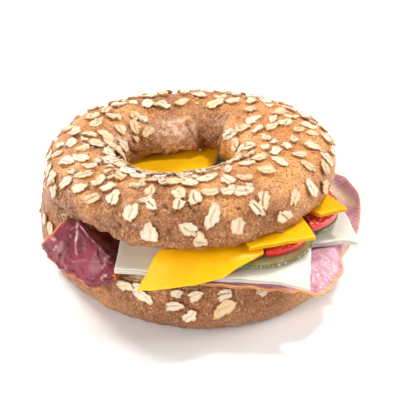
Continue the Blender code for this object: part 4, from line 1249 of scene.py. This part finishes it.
pickle = Finish("pickle_finish", 0.18)
pickle_place = pickle.mask("local", "Vector")
pickle_large = pickle.noise(pickle_place, 4.0)
pickle_small = pickle.noise(pickle_place, 22.0, 4.0)
pickle_glint = pickle.times(pickle.ramp(pickle_small, 0.52, 0.62), pickle.mask("side"))
pickle_colour = pickle.layers(
    pickle.mix(pickle_large, (0.38, 0.31, 0.085), (0.58, 0.50, 0.21)),
    (pickle.ramp(pickle_small, 0.56, 0.70), (0.66, 0.60, 0.36)),
    (pickle.mask("skin"), (0.13, 0.135, 0.040)),
    (pickle.times(pickle_glint, 0.8), (0.72, 0.70, 0.52)),
)
pickle_crinkle = pickle.crinkle(pickle.noise(pickle_place, 9.0, 3.0, 0.6), 0.04)
pickle_height = pickle.plus(pickle.grain(520.0, 0.3)[0], pickle_crinkle, clamp=False)
pickle.set(pickle_colour, None, pickle_height, deep=0.45)
pickle.translucent(0.3, 2.0, (0.8, 0.7, 0.25))
pickle.glaze(0.6, 0.08)

# %% The five round slices
PICKLE, TOMATO, BITE_GAP = (pickle, 29.85, 1.4), (tomato, 31.55, 2.85), 0.5
FRONT_PICKLE, FRONT_TOMATO = ((20.0, -30.4), 22.4), ((23.5, -31.5), 16.5)


def bitten(place, radius):
    """The circle that a slice keeps out of: its neighbour's, and a gap."""
    return np.array(place), radius + BITE_GAP


away = np.array([13.0, 16.4]) / math.hypot(13.0, 16.4)
beside = tuple(np.array(FRONT_PICKLE[0]) + 35.4 * away)
round_slice("pickle_front", *PICKLE, FRONT_PICKLE[0], *FRONT_PICKLE, 70)
round_slice("pickle_right", *PICKLE, beside, (33.0, -14.0), 19.6, 72, bite=bitten(*FRONT_PICKLE))
round_slice("pickle_back", *PICKLE, (7.5, 22.0), (7.5, 22.0), 15.0, 74)
round_slice("tomato_front", *TOMATO, (31.0, -31.5), *FRONT_TOMATO, 76, keep=0)
round_slice("tomato_right", *TOMATO, (43.6, -17.0), (33.6, -14.0), 19.0, 78, bitten(*FRONT_TOMATO), -30)

# %% [markdown]
# ## Floor and light
# The photograph is a cut-out with soft light from above, strongest from the right and a little behind,
# so that side of the crust shines. A small key lamp draws the flakes' shadows, and three larger lamps at
# the right, the left rear and the left front fill them, over a pale floor and under a pale sky.

# %% Stage and lamps
FLOOR_LEVEL = -0.0002
stage_finish = Finish("stage_paper", 0.9)
stage_finish.shader["Base Color"].default_value = (0.93, 0.93, 0.93, 1.0)
floor_mesh = bpy.data.meshes.new("stage_floor")
corners = [(x, y, FLOOR_LEVEL) for x, y in ((-3, -3), (3, -3), (3, 3), (-3, 3))]
floor_mesh.from_pydata(corners, [], [(0, 1, 2, 3)])
floor_mesh.materials.append(stage_finish.made)
floor = bpy.data.objects.new("stage_floor", floor_mesh)
bpy.context.scene.collection.objects.link(floor)


def lamp(name, place, size, watts, colour):
    """A square lamp that faces the middle of the sandwich."""
    data = bpy.data.lights.new(name, "AREA")
    data.size, data.energy, data.color = size, watts, colour
    made = bpy.data.objects.new(name, data)
    made.location = place
    towards = np.array([0.0, 0.0, 0.03]) - np.array(place)
    flat = math.hypot(towards[0], towards[1])
    turn = math.atan2(towards[1], towards[0]) - math.pi / 2
    made.rotation_euler = (math.atan2(flat, -towards[2]), 0.0, turn)
    bpy.context.scene.collection.objects.link(made)
    return made


lamp("key_lamp", (0.28, 0.14, 0.68), 0.09, 3.1, (1.0, 0.97, 0.93))
lamp("right_lamp", (0.66, 0.06, 0.26), 0.34, 4.2, (1.0, 0.98, 0.95))
lamp("back_left_lamp", (-0.44, 0.40, 0.50), 0.30, 6.2, (1.0, 0.98, 0.95))
lamp("front_lamp", (-0.50, -0.60, 0.32), 0.46, 5.6, (1.0, 0.98, 0.96))
world = bpy.data.worlds.new("studio")
world.use_nodes = True
sky = world.node_tree.nodes["Background"].inputs
sky["Color"].default_value = (1.0, 1.0, 1.0, 1.0)
sky["Strength"].default_value = 0.32
bpy.context.scene.world = world
bpy.context.scene.view_settings.view_transform = "Standard"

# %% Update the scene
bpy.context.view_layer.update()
